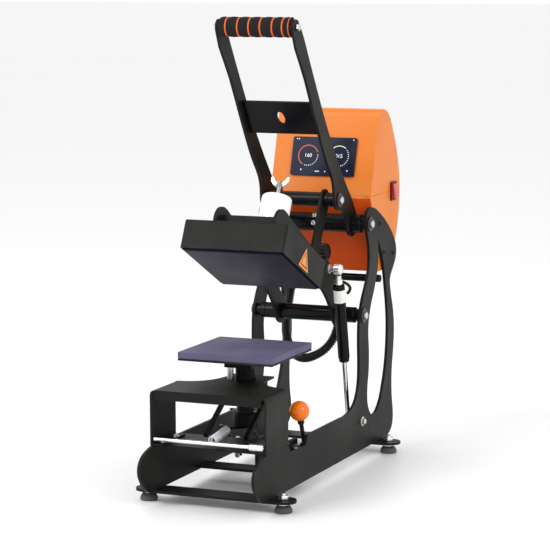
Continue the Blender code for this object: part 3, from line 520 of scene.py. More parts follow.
def level_edges(part: bmesh.types.BMesh) -> list[bmesh.types.BMEdge]:
    """The edges of a shape that lie flat.

    Args:
        part: The shape.

    Returns:
        The edges.
    """
    return [edge for edge in part.edges if abs(edge.verts[0].co.z - edge.verts[1].co.z) < TINY]


def spun(profile: Profile, steps: int, bored: bool = False) -> bmesh.types.BMesh:
    """A profile spun round +Z.

    Args:
        profile: (radius, height) pairs.
        steps: Facets round the piece.
        bored: The profile closes on itself round a bore.

    Returns:
        The shape.
    """
    part = bmesh.new()
    points = [part.verts.new((radius, 0.0, height)) for radius, height in profile]
    pairs = list(zip(points, points[1:]))
    if bored:
        pairs.append((points[-1], points[0]))
    edges = [part.edges.new(pair) for pair in pairs]
    bmesh.ops.spin(part, geom=points + edges, cent=ORIGIN, axis=(0, 0, 1), dvec=ORIGIN, angle=TURN,
                   steps=steps, use_merge=True, use_duplicate=False)
    return part


def cube(size: Point) -> bmesh.types.BMesh:
    """A sharp block round the origin.

    Args:
        size: Its three sides.

    Returns:
        The shape.
    """
    part = bmesh.new()
    bmesh.ops.create_cube(part, size=1.0)
    bmesh.ops.scale(part, vec=size, verts=part.verts)
    return part


def mesh_of(drawn: bpy.types.Curve) -> bmesh.types.BMesh:
    """The surface of a curve or a text.

    Args:
        drawn: The curve or text.

    Returns:
        The shape.
    """
    carrier = placed("carrier", drawn)
    bpy.context.view_layer.update()
    part = bmesh.new()
    part.from_mesh(carrier.to_mesh())
    carrier.to_mesh_clear()
    bpy.data.objects.remove(carrier)
    return part


class Form:
    """A shape in millimetres, put together with operators and then placed."""

    def __init__(self, place: Matrix = MACHINE) -> None:
        """Start an empty form.

        Args:
            place: Its place.
        """
        self.place = place
        self.whole = bmesh.new()

    def take(self, part: bmesh.types.BMesh, at: Point = ORIGIN, turn: Matrix = STILL) -> "Form":
        """Merge a part's doubles, point its faces outwards and add it.

        Args:
            part: The part, which is freed.
            at: Where its origin goes.
            turn: Its turn about its own origin.

        Returns:
            The form.
        """
        bmesh.ops.remove_doubles(part, verts=part.verts, dist=TINY)
        bmesh.ops.recalc_face_normals(part, faces=part.faces)
        bmesh.ops.transform(part, matrix=Matrix.Translation(at) @ turn, verts=part.verts)
        carrier = bpy.data.meshes.new("carrier")
        part.to_mesh(carrier)
        part.free()
        self.whole.from_mesh(carrier)
        bpy.data.meshes.remove(carrier)
        return self

    def lathe(self, profile: Profile, at: Point = ORIGIN, axis: Axis = Axis.X, steps: int = 48,
              bored: bool = False, turn: Matrix = STILL) -> "Form":
        """Spin a profile round its axis.

        Args:
            profile: (radius, height along the axis) pairs.
            at: Where height 0 of the axis lies.
            axis: The axis.
            steps: Facets round the piece.
            bored: The profile closes on itself round a bore.
            turn: A further turn about the place.

        Returns:
            The form.
        """
        return self.take(spun(profile, steps, bored), at, turn @ axis.value)

    def block(self, size: Point, at: Point, turn: Matrix, rounding: float, segments: int) -> "Form":
        """Add a block with rounded edges.

        Args:
            size: Its three sides.
            at: Its middle.
            turn: Its turn about its middle.
            rounding: The radius of its edges.
            segments: Facets across each rounded edge.

        Returns:
            The form.
        """
        part = cube(size)
        rounded(part, part.edges[:], rounding, segments)
        return self.take(part, at, turn)

    def hexagon(self, radius: float, length: float, at: Point, spin: float, axis: Axis = Axis.Z,
                turn: Matrix = STILL, chamfer: float = 0.6) -> "Form":
        """Add a nut or a bolt's head, with its corners eased.

        Args:
            radius: Its radius over the corners.
            length: Its length along the axis.
            at: Its middle.
            spin: Its turn about its own axis, in degrees.
            axis: Its axis.
            turn: A further turn about the place.
            chamfer: How much its rims are eased.

        Returns:
            The form.
        """
        part = bmesh.new()
        bmesh.ops.create_cone(part, cap_ends=True, segments=6, radius1=radius, radius2=radius, depth=length)
        rounded(part, level_edges(part), chamfer)
        return self.take(part, at, turn @ axis.value @ Matrix.Rotation(math.radians(spin), 4, "Z"))

    def slab(self, outline: Profile, thickness: float, at: Point, turn: Matrix = UPRIGHT,
             rounding: float = 0.0) -> "Form":
        """Add a flat piece with a drawn outline in its own X and Y.

        Args:
            outline: Points round the outline.
            thickness: Its thickness, centred on its plane.
            at: Where its origin goes.
            turn: Its turn about its origin.
            rounding: The radius of its rims.

        Returns:
            The form.
        """
        part = bmesh.new()
        face = part.faces.new([part.verts.new((a, b, -thickness / 2.0)) for a, b in outline])
        raised = bmesh.ops.extrude_face_region(part, geom=[face])["geom"]
        top = [item for item in raised if isinstance(item, bmesh.types.BMVert)]
        bmesh.ops.translate(part, vec=(0.0, 0.0, thickness), verts=top)
        if rounding:
            rounded(part, level_edges(part), rounding)
        return self.take(part, at, turn)

    def wire(self, path: Sequence[Iterable[float]], radius: float, resolution: int = 4,
             swell: Sequence[float] = (1.0,)) -> "Form":
        """Add a round wire along a path.

        Args:
            path: The points that it follows.
            radius: The wire's radius.
            resolution: How finely it is rounded.
            swell: Factors of the radius that repeat along the path.

        Returns:
            The form.
        """
        curve = bpy.data.curves.new("wire", "CURVE")
        curve.dimensions, curve.use_fill_caps = "3D", True
        curve.bevel_depth, curve.bevel_resolution = radius, resolution
        spline = curve.splines.new("POLY")
        spline.points.add(len(path) - 1)
        for i, (point, spot) in enumerate(zip(spline.points, path)):
            point.co = (*spot, 1.0)
            point.radius = swell[i % len(swell)]
        return self.take(mesh_of(curve))

    def done(self, name: str, finish: Finish, body: str, stands_for: Iterable[str] = (),
             smooth: float = PIECE_SMOOTH) -> bpy.types.Object:
        """Place the form, in metres, and dress it.

        Args:
            name: The piece's name.
            finish: Its finish.
            body: The body that it rides on, or "" as for dressed().
            stands_for: CAD nodes that it replaces.
            smooth: Edges below this many degrees are shaded smooth.

        Returns:
            The piece.
        """
        bmesh.ops.transform(self.whole, matrix=Matrix.Scale(MM, 4) @ self.place, verts=self.whole.verts)
        return dressed(name, self.whole, finish, body, stands_for, smooth)

    def stand_in(self, node: str, finish: Finish, name: str = "") -> bpy.types.Object:
        """Finish the form as the piece that replaces one CAD node on its body.

        Args:
            node: The node's name.
            finish: Its finish.
            name: The piece's name, where it isn't made from the node's.

        Returns:
            The piece.
        """
        return self.done(name or f"{node}_form", finish, BODY_OF[node], [node])


def smooth_path(points: Sequence[Point], step: float) -> list[Vector]:
    """An even path on a smooth curve through points.

    Args:
        points: The points that the curve passes through.
        step: The distance between the path's points.

    Returns:
        The path.
    """
    per_span = 24
    knots = [Vector(point) for point in points]
    ends = [2 * knots[0] - knots[1], *knots, 2 * knots[-1] - knots[-2]]
    fine: list[Vector] = []
    for before, start, end, after in zip(ends, ends[1:], ends[2:], ends[3:]):
        for i in range(per_span):
            t = i / per_span
            fine.append(0.5 * (2 * start + (end - before) * t
                               + (2 * before - 5 * start + 4 * end - after) * t ** 2
                               + (3 * start - before - 3 * end + after) * t ** 3))
    fine.append(knots[-1])
    lengths = [0.0]
    for first, second in zip(fine, fine[1:]):
        lengths.append(lengths[-1] + (second - first).length)
    count = max(2, round(lengths[-1] / step))
    even: list[Vector] = []
    place = 0
    for i in range(count + 1):
        target = lengths[-1] * i / count
        while place < len(fine) - 2 and lengths[place + 1] < target:
            place += 1
        span = max(lengths[place + 1] - lengths[place], 1e-9)
        even.append(fine[place].lerp(fine[place + 1], min(1.0, (target - lengths[place]) / span)))
    return even


def eased(node: str, finish: Finish, width: float, segments: int = 2, sharp: float = 42.0) -> bpy.types.Object:
    """Stand a copy with rounded edges in for a CAD node.

    Args:
        node: The node's name.
        finish: Its finish.
        width: The width of the rounded edges.
        segments: Facets across them.
        sharp: Only edges that turn more than this many degrees are rounded.

    Returns:
        The piece.
    """
    shape = bmesh.new()
    shape.from_mesh(frame["nodes"][node].data)
    bmesh.ops.remove_doubles(shape, verts=shape.verts, dist=0.01 * MM)
    bmesh.ops.dissolve_limit(shape, angle_limit=math.radians(FLAT_ANGLE), verts=shape.verts,
                             edges=shape.edges, delimit={"NORMAL"})
    edges = [edge for edge in shape.edges
             if len(edge.link_faces) == 2 and edge.calc_face_angle(0.0) > math.radians(sharp)]
    wear = shape.faces.layers.float.new("wear")
    for face in rounded(shape, edges, width * MM, segments, clamped=True):
        face[wear] = 1.0
    return dressed(f"{node}_form", shape, finish, BODY_OF[node], [node], EASED_SMOOTH)


def coated(node: str, finish: Finish) -> None:
    """Give a CAD node that is already right its finish.

    Args:
        node: The node's name.
        finish: Its finish.
    """
    for row in frame["nodes"][node].material_slots:
        row.material = finish.build()
    LOG.info("%s coated", node)


# ---------------------------------------------------------------- fasteners

@dataclass(frozen=True)
class CapBolt:
    """A hexagon bolt with its washer, whose head looks along +X or -X."""

    head: float
    head_height: float
    washer_height: float
    shank: float
    shank_length: float
    washer: float = 11.5

    def ring(self, name: str, face: Point, side: int, body: str) -> None:
        """Make the washer as a piece of its own.

        Args:
            name: The piece's name.
            face: The middle of the face that it lies on.
            side: 1 where it looks along +X, -1 along -X.
            body: The body that it rides on.
        """
        high, bore, edge = self.washer_height, self.shank + 0.3, self.washer
        profile = [(bore, high), (edge - 0.5, high), (edge, high - 0.4), (edge, 0.3), (edge - 0.3, 0.0),
                   (bore, 0.0)]
        Form().lathe(profile, face, turn=facing(side), bored=True).done(name, BLACK_OXIDE, body)

    def add(self, form: Form, face: Point, side: int) -> Form:
        """Add the bolt to a form.

        Args:
            form: The form.
            face: The middle of the face that the washer lies on.
            side: 1 where it looks along +X, -1 along -X.

        Returns:
            The form.
        """
        flip, high, deep, (x, y, z) = facing(side), self.washer_height, self.shank_length, face
        form.lathe([(0.0, high), (self.shank, high), (self.shank, -deep), (0.0, -deep)], face, turn=flip)
        form.hexagon(self.head, self.head_height, (x + side * (high + self.head_height / 2.0), y, z), 17.0,
                     Axis.X, flip, 0.7)
        crown = [(0.0, 0.9), (3.4, 0.9), (4.4, 0.2), (4.6, 0.0), (4.6, -1.0), (0.0, -1.0)]
        return form.lathe(crown, (x + side * (high + self.head_height), y, z), steps=24, turn=flip)


# ---------------------------------------------------------------- frame

@dataclass
class Chassis:
    """The side plates, the bars, tubes and feet between them, and the bridge."""

    frame_half: float = 91.0
    inner: float = 86.5
    sleeve_wall: float = 2.2
    handle_pivot: Point = (0.0, 157.0, 369.5)
    pivot_radius: float = 12.0
    foot_x: float = 106.0
    foot_ys: Pair = (-228.0, 202.0)
    foot_bar: Pair = (14.7, 18.7)
    box_screws: tuple[Pair, ...] = ((202.5, 366.0), (221.0, 318.0), (262.0, 312.0))
    strut_foot: Pair = (124.0, 64.0)
    hinge_bolt: CapBolt = CapBolt(6.4, 3.6, 2.0, 4.6, 22.0)
    strut_bolt: CapBolt = CapBolt(5.2, 3.4, 1.2, 3.6, 4.0)

    def plates(self) -> None:
        """Round the edges of every cut and folded sheet."""
        for node, width in (("left_side_plate", 0.7), ("right_side_plate", 0.7), ("table_bridge", 0.5),
                            ("front_foot_bar", 0.5), ("rear_foot_bar", 0.5), ("mid_crossbar", 0.5),
                            ("deck_plate", 0.3), ("platen_socket", 0.6)):
            eased(node, POWDER_COAT, width)

    def tubes(self) -> None:
        """The two cross tubes: enamelled sleeves over a shaft that shows at the arms and the plates."""
        half, wide = self.inner - CLEARANCE, self.inner - 8.0
        for node, centre, radius, arm in (("arm_hinge_shaft", tuple(ARM_HINGE), 10.0, 47.5),
                                          ("handle_pivot_shaft", self.handle_pivot, self.pivot_radius, 60.25)):
            sleeve = radius + self.sleeve_wall
            side = [(5.0, half), (radius - 1.0, half), (radius - 0.5, half - 0.5), (radius - 0.5, wide + 0.4),
                    (sleeve - 0.7, wide), (sleeve, wide - 0.7), (sleeve, wide - 7.0), (sleeve - 0.7, wide - 7.4),
                    (sleeve - 0.7, wide - 8.6), (sleeve, wide - 9.0), (sleeve, arm + 3.6),
                    (sleeve - 0.6, arm + 3.0), (radius, arm + 3.0), (radius, arm - 3.0),
                    (sleeve - 0.6, arm - 3.0), (sleeve, arm - 3.6)]
            Form().lathe(mirrored(side), centre, steps=64, bored=True).stand_in(node, TUBE_ENAMEL)
            for hand, sign in HANDS:
                bolt = f"{node.replace('shaft', 'bolt')}_{hand}"
                face = (sign * (self.frame_half + CLEARANCE), centre[1], centre[2])
                self.hinge_bolt.add(Form(), face, sign).stand_in(bolt, ZINC_PLATE)
                self.hinge_bolt.ring(f"{bolt}_washer", face, sign, "base")

    def sleeve_screws(self) -> None:
        """Two set screws in the middle of the handle's sleeve, on its front and above."""
        screw = [(0.0, 1.4), (1.6, 1.4), (1.8, 3.0), (2.8, 2.7), (3.6, 1.8), (3.9, 0.6), (3.9, 0.0), (0.0, 0.0)]
        form = Form()
        for rise in (0.0, 52.0):
            forward, up = polar(1.0, rise)
            away = Vector((0.0, -forward, up))
            foot = Vector(self.handle_pivot) + away * (self.pivot_radius + self.sleeve_wall - 0.4)
            form.lathe(screw, (2.0, foot.y, foot.z), Axis.Z, 24, turn=aimed(away))
        form.done("sleeve_set_screws", BRIGHT_BAR, "base")

    def rods(self) -> None:
        """The rear tie rod, and the bright rod that anchors the spring, with a sleeve at its right end."""
        half = self.inner - CLEARANCE
        rear, front = (0.0, 217.0, 276.0), (0.0, -250.0, 95.5)
        self.rod(rear, 6.0).stand_in("rear_tie_rod", TUBE_ENAMEL)
        sleeve = [(3.1, half - 0.5), (4.9, half - 0.5), (5.3, half - 1.0), (5.3, half - 21.4),
                  (4.9, half - 22.0), (3.1, half - 22.0)]
        self.rod(front, 3.0).lathe(sleeve, front, steps=40, bored=True).stand_in("spring_anchor_rod", BRIGHT_BAR)

    def rod(self, centre: Point, radius: float) -> Form:
        """A plain rod from plate to plate.

        Args:
            centre: Its middle.
            radius: Its radius.

        Returns:
            The form.
        """
        half = self.inner - CLEARANCE
        profile = [(0.0, half), (radius - 0.8, half), (radius, half - 0.8)]
        return Form().lathe(mirrored(profile), centre, steps=40)

    def feet(self) -> None:
        """Four levelling feet: a moulded sole, a stud, a nut below the bar and one above."""
        low, high = self.foot_bar
        sole = [(0.0, 0.0), (11.2, 0.0), (12.4, 0.5), (13.0, 1.4), (13.0, 3.4), (12.4, 5.6), (10.9, 8.4),
                (9.6, 9.7), (7.6, 10.2), (0.0, 10.2)]
        stud = [(0.0, 9.8), *threaded(3.5, 4.0, 10.0, 1.25, 15), (3.2, 28.4), (0.0, 28.4)]
        for end, y in zip(("front", "rear"), self.foot_ys):
            for hand, sign in HANDS:
                node, x = f"foot_{end}_{hand}", sign * self.foot_x
                Form().lathe(sole, (x, y, 0.0), Axis.Z).done(f"{node}_sole", FOOT_RUBBER, "base")
                form = Form().lathe(stud, (x, y, 0.0), Axis.Z, 24)
                form.hexagon(8.0, 3.6, (x, y, low - 2.2), 9.0 + 20.0 * sign)
                form.hexagon(8.0, 6.0, (x, y, high + 3.5), 23.0 - 14.0 * sign)
                form.stand_in(node, BRIGHT_BAR, f"{node}_stud")

    def fixings(self) -> None:
        """The screws of the control box, the bolt of the strut's foot, and the bridge's foot bolts."""
        button = [(0.0, 0.9), (1.64, 0.9), (1.87, 2.0), (2.81, 1.76), (3.59, 1.1), (3.9, 0.2), (3.9, 0.0),
                  (0.0, 0.0)]
        form = Form()
        for y, z in self.box_screws:
            for _, sign in HANDS:
                form.lathe(button, (sign * self.frame_half, y, z), steps=24, turn=facing(sign))
        form.done("box_screws", NYLON, "base")
        face = (self.frame_half + CLEARANCE, *self.strut_foot)
        washer = [(3.9, 1.2), (7.2, 1.2), (7.6, 0.8), (7.6, 0.0), (3.9, 0.0)]
        form = self.strut_bolt.add(Form(), face, 1).lathe(washer, face, steps=36, bored=True)
        form.done("strut_foot_bolt", ZINC_PLATE, "base")
        washer = [(0.0, 0.8), (6.2, 0.8), (6.4, 0.5), (6.4, 0.0), (0.0, 0.0)]
        form = Form()
        for x in (-79.0, 79.0):
            for y in (-235.0, -196.0):
                form.hexagon(5.0, 3.6, (x, y, 91.2), 13.0).lathe(washer, (x, y, 89.3), Axis.Z, 28)
        form.done("bridge_foot_bolts", ZINC_PLATE, "base")

    def build(self) -> None:
        """Build the whole chassis."""
        self.plates()
        self.tubes()
        self.sleeve_screws()
        self.rods()
        self.feet()
        self.fixings()


# ---------------------------------------------------------------- control box

@dataclass(frozen=True)
class Dial:
    """A round scale on the screen: a coloured arc, white ticks and its number."""

    hand: str
    x: float
    finish: Finish
    number: str
    arc: range
    ticks: range
    z: float = 1.0
    radius: float = 17.0

    def ring(self, radius: float) -> list[Pair]:
        """Points along the arc.

        Args:
            radius: Their distance from the dial's middle.

        Returns:
            The points on the screen.
        """
        return [(self.x + a, self.z + b) for a, b in (polar(radius, degrees) for degrees in self.arc)]

    def tick(self, degrees: float) -> list[Pair]:
        """The outline of one tick.

        Args:
            degrees: Its angle.

        Returns:
            Its corners on the screen.
        """
        away = Vector(polar(1.0, degrees))
        side = Vector((-away.y, away.x)) * 0.55
        near, far, middle = away * self.radius * 0.9, away * self.radius, Vector((self.x, self.z))
        return [tuple(middle + corner) for corner in (near - side, far - side, far + side, near + side)]


@dataclass
class ControlBox:
    """The orange box, its touch screen, rocker switch and power inlet."""

    half: float = 85.0
    front_foot: Pair = (176.0, 407.0)
    front_top: Pair = (215.0, 540.0)
    screen_z: float = 469.0
    screen_face: float = -1.06
    switch: Pair = (275.0, 410.0)
    inlet: Point = (40.0, 305.6, 372.0)
    inlet_turn: float = -12.0
    dials: tuple[Dial, ...] = (
        Dial("left", -26.0, SCREEN_RED, "160", range(-120, -341, -10), range(-105, 5, 12)),
        Dial("right", 26.0, SCREEN_YELLOW, "015", range(200, 49, -10), range(-120, 45, 12)))

    @property
    def screen_place(self) -> Matrix:
        """The screen's own place: X to the right, Z up its face and -Y out of it."""
        (foot_y, foot_z), (top_y, top_z) = self.front_foot, self.front_top
        lean = math.atan2(top_y - foot_y, top_z - foot_z)
        run = foot_y + (self.screen_z - foot_z) * math.tan(lean)
        return MACHINE @ Matrix.Translation((0.0, run - 2.6, self.screen_z)) @ Matrix.Rotation(-lean, 4, "X")

    def shell(self) -> None:
        """The two folded halves, with painted shade, a darker and redder copy of the coat, on the undersides of
        their fronts.
        """
        for node in ("control_box_upper", "control_box_lower"):
            half = eased(node, ORANGE_COAT, 2.2, 4, 26.0)
            # A second slot holds painted shade: a darker, redder orange for the faces of the front that look
            # forward and down.
            half.data.materials.append(ORANGE_PAINTED_SHADE.build())
            for face in half.data.polygons:
                if face.normal.y < -0.5 and face.normal.z < -0.05:
                    face.material_index = 1

    def screen(self) -> None:
        """The cover glass, and what the display shows."""
        outline = [(x + a, z + b) for x, z, start in ((51.0, 28.0, 0.0), (-51.0, 28.0, 90.0),
                                                      (-51.0, -28.0, 180.0), (51.0, -28.0, 270.0))
                   for a, b in (polar(3.0, start + i * 22.5) for i in range(5))]
        glass = Form(self.screen_place).slab(outline, 2.0, ORIGIN, rounding=0.35)
        glass.stand_in("display_screen", SCREEN_GLASS, "screen_cover")
        for dial in self.dials:
            self.show(dial)
        form = Form(self.screen_place)
        marks = [(x, 26.6, 1.8, 1.4) for x in (-48.0, -44.5, 47.5)]
        marks += [(x, -25.0, 1.6, 1.8) for x in (-12.0, -9.4, -6.8, 4.0)]
        for x, z, wide, tall in marks:
            corners = [(x, z), (x + wide, z), (x + wide, z + tall), (x, z + tall)]
            form.slab(corners, 0.1, (0.0, self.screen_face, 0.0))
        for x in (-36.0, 42.0):
            form.lathe([(0.0, 0.06), (1.2, 0.06), (1.2, 0.0), (0.0, 0.0)], (x, self.screen_face, -22.0), Axis.Y, 16,
                       turn=Matrix.Rotation(math.pi, 4, "X"))
        form.done("screen_icons", SCREEN_WHITE, "base")

    def show(self, dial: Dial) -> None:
        """Draw a dial on the screen.

        Args:
            dial: The dial.
        """
        thick, at = 0.12, (0.0, self.screen_face, 0.0)
        outer, inner = dial.ring(dial.radius), dial.ring(dial.radius * 0.93)
        form = Form(self.screen_place)
        for corners in zip(outer, outer[1:], inner[1:], inner):
            form.slab(corners, thick, at)
        form.done(f"dial_arc_{dial.hand}", dial.finish, "base")
        form = Form(self.screen_place)
        for degrees in dial.ticks:
            form.slab(dial.tick(degrees), thick, at)
        form.done(f"dial_ticks_{dial.hand}", SCREEN_WHITE, "base")
        name = f"dial_number_{dial.hand}"
        figures = bpy.data.curves.new(name, "FONT")
        figures.body, figures.size, figures.extrude = dial.number, 8.4, 0.05
        figures.align_x, figures.align_y = "CENTER", "CENTER"
        form = Form(self.screen_place).take(mesh_of(figures), (dial.x, self.screen_face, dial.z), UPRIGHT)
        form.done(name, SCREEN_WHITE, "base")

    def switch_and_inlet(self) -> None:
        """The rocker in its snap-in frame, and the three-pin inlet on the back."""
        eased("switch_frame", NYLON, 0.5)
        y, z = self.switch
        lean = Matrix.Rotation(math.radians(-7.0), 4, "Y")
        form = Form().block((5.0, 17.6, 23.0), (self.half + 4.3, y, z), lean, 1.1, 3)
        for i in range(3):
            form.block((0.8, 11.0, 0.9), (self.half + 6.55 + 0.2 * i, y, z - 8.2 + 1.9 * i), lean, 0.25, 1)
        form.stand_in("power_rocker", SWITCH_RED)
        eased("power_inlet", NYLON, 0.5)
        turn = Matrix.Rotation(math.radians(self.inlet_turn), 4, "X")
        form = Form()
        for across, up in ((-7.0, -1.5), (0.0, 2.5), (7.0, -1.5)):
            place = Vector(self.inlet) + turn @ Vector((across, 4.4, up))
            form.block((2.0, 5.0, 5.0), tuple(place), turn, 0.4, 2)
        form.done("inlet_pins", ZINC_PLATE, "base")

    def build(self) -> None:
        """Build the whole box."""
        self.shell()
        self.screen()
        self.switch_and_inlet()
        coated("circuit_board", SOLDER_MASK)


# ---------------------------------------------------------------- heating head

@dataclass
class HeatingHead:
    """The two arms, the white pressure cap, the heater, and the gland behind it."""

    half: float = 81.5
    middle_y: float = -115.0
    housing: Pair = (217.4, 261.8)
    arm_x: float = 47.5
    arm_thick: float = 5.0
    hub_y: float = -68.6
    hub_top: float = 348.5
    gland: Point = (23.4, 81.6, 314.0)
    strut_head: Point = (68.0, 50.0, 277.0)

    def plates(self) -> None:
        """Arms, cross plate, saddle, housing and hot plate."""
        for node in ("left_head_arm", "right_head_arm", "head_cross_plate", "hub_saddle", "gland_bracket"):
            eased(node, POWDER_COAT, 0.6)
        eased("heater_housing", POWDER_COAT, 0.35, 2, 50.0)
        eased("heater_plate", NON_STICK, 0.3, 1, 50.0)
        coated("insulation_board", MINERAL_BOARD)

    def caution_triangle(self) -> None:
        """A plain triangle on the housing's right side, without any sign in it."""
        turn = Matrix.Rotation(math.radians(90.0), 4, "Z") @ UPRIGHT
        x, y, z = self.half + 0.12, self.middle_y + 1.0, sum(self.housing) / 2.0 - 4.0
        side = 19.5
        film = [(-side, -side * 0.75), (side, -side * 0.75), (0.0, side * 0.9)]
        Form(HEAD_PLACE).slab(film, 0.2, (x, y, z), turn).done("caution_triangle", VINYL_ORANGE, "head")
        rim = [(a * 0.74, b * 0.74 - 0.6) for a, b in film]
        core = [(a * 0.56, b * 0.56 - 0.8) for a, b in film]
        form = Form(HEAD_PLACE)
        for i, j in ((0, 1), (1, 2), (2, 0)):
            form.slab([rim[i], rim[j], core[j], core[i]], 0.2, (x + 0.08, y, z), turn)
        form.done("caution_triangle_line", VINYL_DARK, "head")

    def pressure_cap(self) -> None:
        """The tall white cap, its top eased and its foot relieved, round the screw."""
        foot, top = self.housing[1] + 4.6, self.hub_top
        profile = [(4.0, top), (15.5, top), (18.5, top - 0.3), (20.6, top - 1.0), (22.2, top - 2.4),
                   (22.9, top - 4.4), (23.0, top - 6.5), (23.0, foot + 2.0), (22.6, foot + 0.6), (21.8, foot),
                   (4.0, foot)]
        form = Form(HEAD_PLACE).lathe(profile, (0.0, self.hub_y, 0.0), Axis.Z, 72, bored=True)
        form.stand_in("pressure_hub", WHITE_ENAMEL, "pressure_cap")

    def wing_screw(self) -> None:
        """The threaded screw and its pressed wing nut."""
        at = (0.0, self.hub_y, self.hub_top)
        screw = [(0.0, -39.0), (2.4, -39.0), *threaded(2.6, 3.0, -38.4, 1.2, 45), (2.4, 15.9), (0.0, 15.9)]
        nut = [(0.0, 24.0), (3.4, 24.0), (4.6, 23.4), (5.4, 21.0), (6.6, 16.4), (7.0, 15.6), (6.4, 15.0),
               (0.0, 15.0)]
        wing = [(2.0, 15.9), (5.6, 16.1), (8.6, 17.4), (11.4, 19.8), (13.6, 22.6), (14.9, 25.6), (15.3, 28.4),
                (14.7, 30.6), (13.0, 31.6), (11.2, 31.0), (9.8, 29.0), (8.4, 26.4), (6.4, 23.8), (4.2, 22.2),
                (2.0, 21.6)]
        form = Form(HEAD_PLACE).lathe(screw, at, Axis.Z, 20).lathe(nut, at, Axis.Z, 40)
        for _, sign in HANDS:
            form.slab([(sign * a, b) for a, b in wing], 3.0, at, rounding=0.9)
        form.stand_in("wing_nut", ZINC_PLATE, "wing_screw")

    def pins(self) -> None:
        """The links' lower pin with its clips, and the strut's ball stud."""
        y, z = LinkGeometry().pin_closed()
        reach = self.arm_x + self.arm_thick / 2.0 + CLEARANCE
        side = [(0.0, reach + 5.0), (7.0, reach + 5.0), (8.4, reach + 4.4), (9.0, reach + 3.4), (9.0, reach),
                (6.0, reach), (6.0, 0.0)]
        Form(HEAD_PLACE).lathe(mirrored(side), (0.0, y, z), steps=40).stand_in("link_lower_pin", ZINC_PLATE)
        ball, y, z = self.strut_head
        stud = [(0.0, ball + 4.2)]
        stud += [(away, ball + along) for along, away in (polar(4.2, a) for a in range(20, 140, 12))]
        stud += [(2.8, ball - 5.0), (2.8, reach + 7.4), (4.6, reach + 7.0), (4.6, reach + 5.0), (4.0, reach + 5.0),
                 (4.0, reach - 10.0), (0.0, reach - 10.0)]
        form = Form(HEAD_PLACE).lathe(stud, (0.0, y, z)).hexagon(8.0, 5.0, (reach + 2.5, y, z), 8.0, Axis.X)
        form.stand_in("strut_ball_stud", ZINC_PLATE)

    def cable_gland(self) -> None:
        """The fluted gland nut, with its bright lock ring behind."""
        x, y, z = self.gland
        low, high = x - 10.7, x + 12.0
        profile = [(0.0, high - 1.0), (5.4, high - 1.0), (5.8, high), (9.6, high), (11.6, high - 1.0),
                   (13.2, high - 3.0), (13.9, high - 6.0), (13.9, low + 7.0), (13.2, low + 5.6), (11.6, low + 5.0),
                   (11.6, low), (0.0, low)]
        nut = spun(profile, 96)
        flutes, flute_depth = 16, 0.9
        for vert in nut.verts:
            radius = math.hypot(vert.co.x, vert.co.y)
            if radius > 12.5 and vert.co.z > low + 5.3:
                crest = max(0.0, math.cos(flutes * math.atan2(vert.co.y, vert.co.x)))
                vert.co.xy *= 1.0 + flute_depth * (1.5 * crest - 1.0) / radius
        Form(HEAD_PLACE).take(nut, (0.0, y, z), Axis.X.value).stand_in("head_gland", NYLON, "gland_nut")
        ring = [(11.9, low + 0.2), (13.8, low + 0.2), (14.4, low + 0.8), (14.4, low + 3.4), (13.8, low + 4.0),
                (11.9, low + 4.0)]
        Form(HEAD_PLACE).lathe(ring, (0.0, y, z), bored=True).done("gland_lock_ring", ZINC_PLATE, "head")

    def build(self) -> None:
        """Build the whole head."""
        self.plates()
        self.caution_triangle()
        self.pressure_cap()
        self.wing_screw()
        self.pins()
        self.cable_gland()


# ---------------------------------------------------------------- handle and links

@dataclass
class LinkGeometry:
    """Where the links meet the handle and the head, as (y, z)."""

    top: Pair = (99.5, 411.5)
    length: float = 117.0
    lean: float = -118.0

    def pin_closed(self) -> Pair:
        """The lower pivot on the head, with the press closed."""
        back, down = polar(self.length, self.lean)
        point = about_hinge(OPEN_ANGLE) @ Vector((0.0, self.top[0] + back, self.top[1] + down))
        return (point.y, point.z)


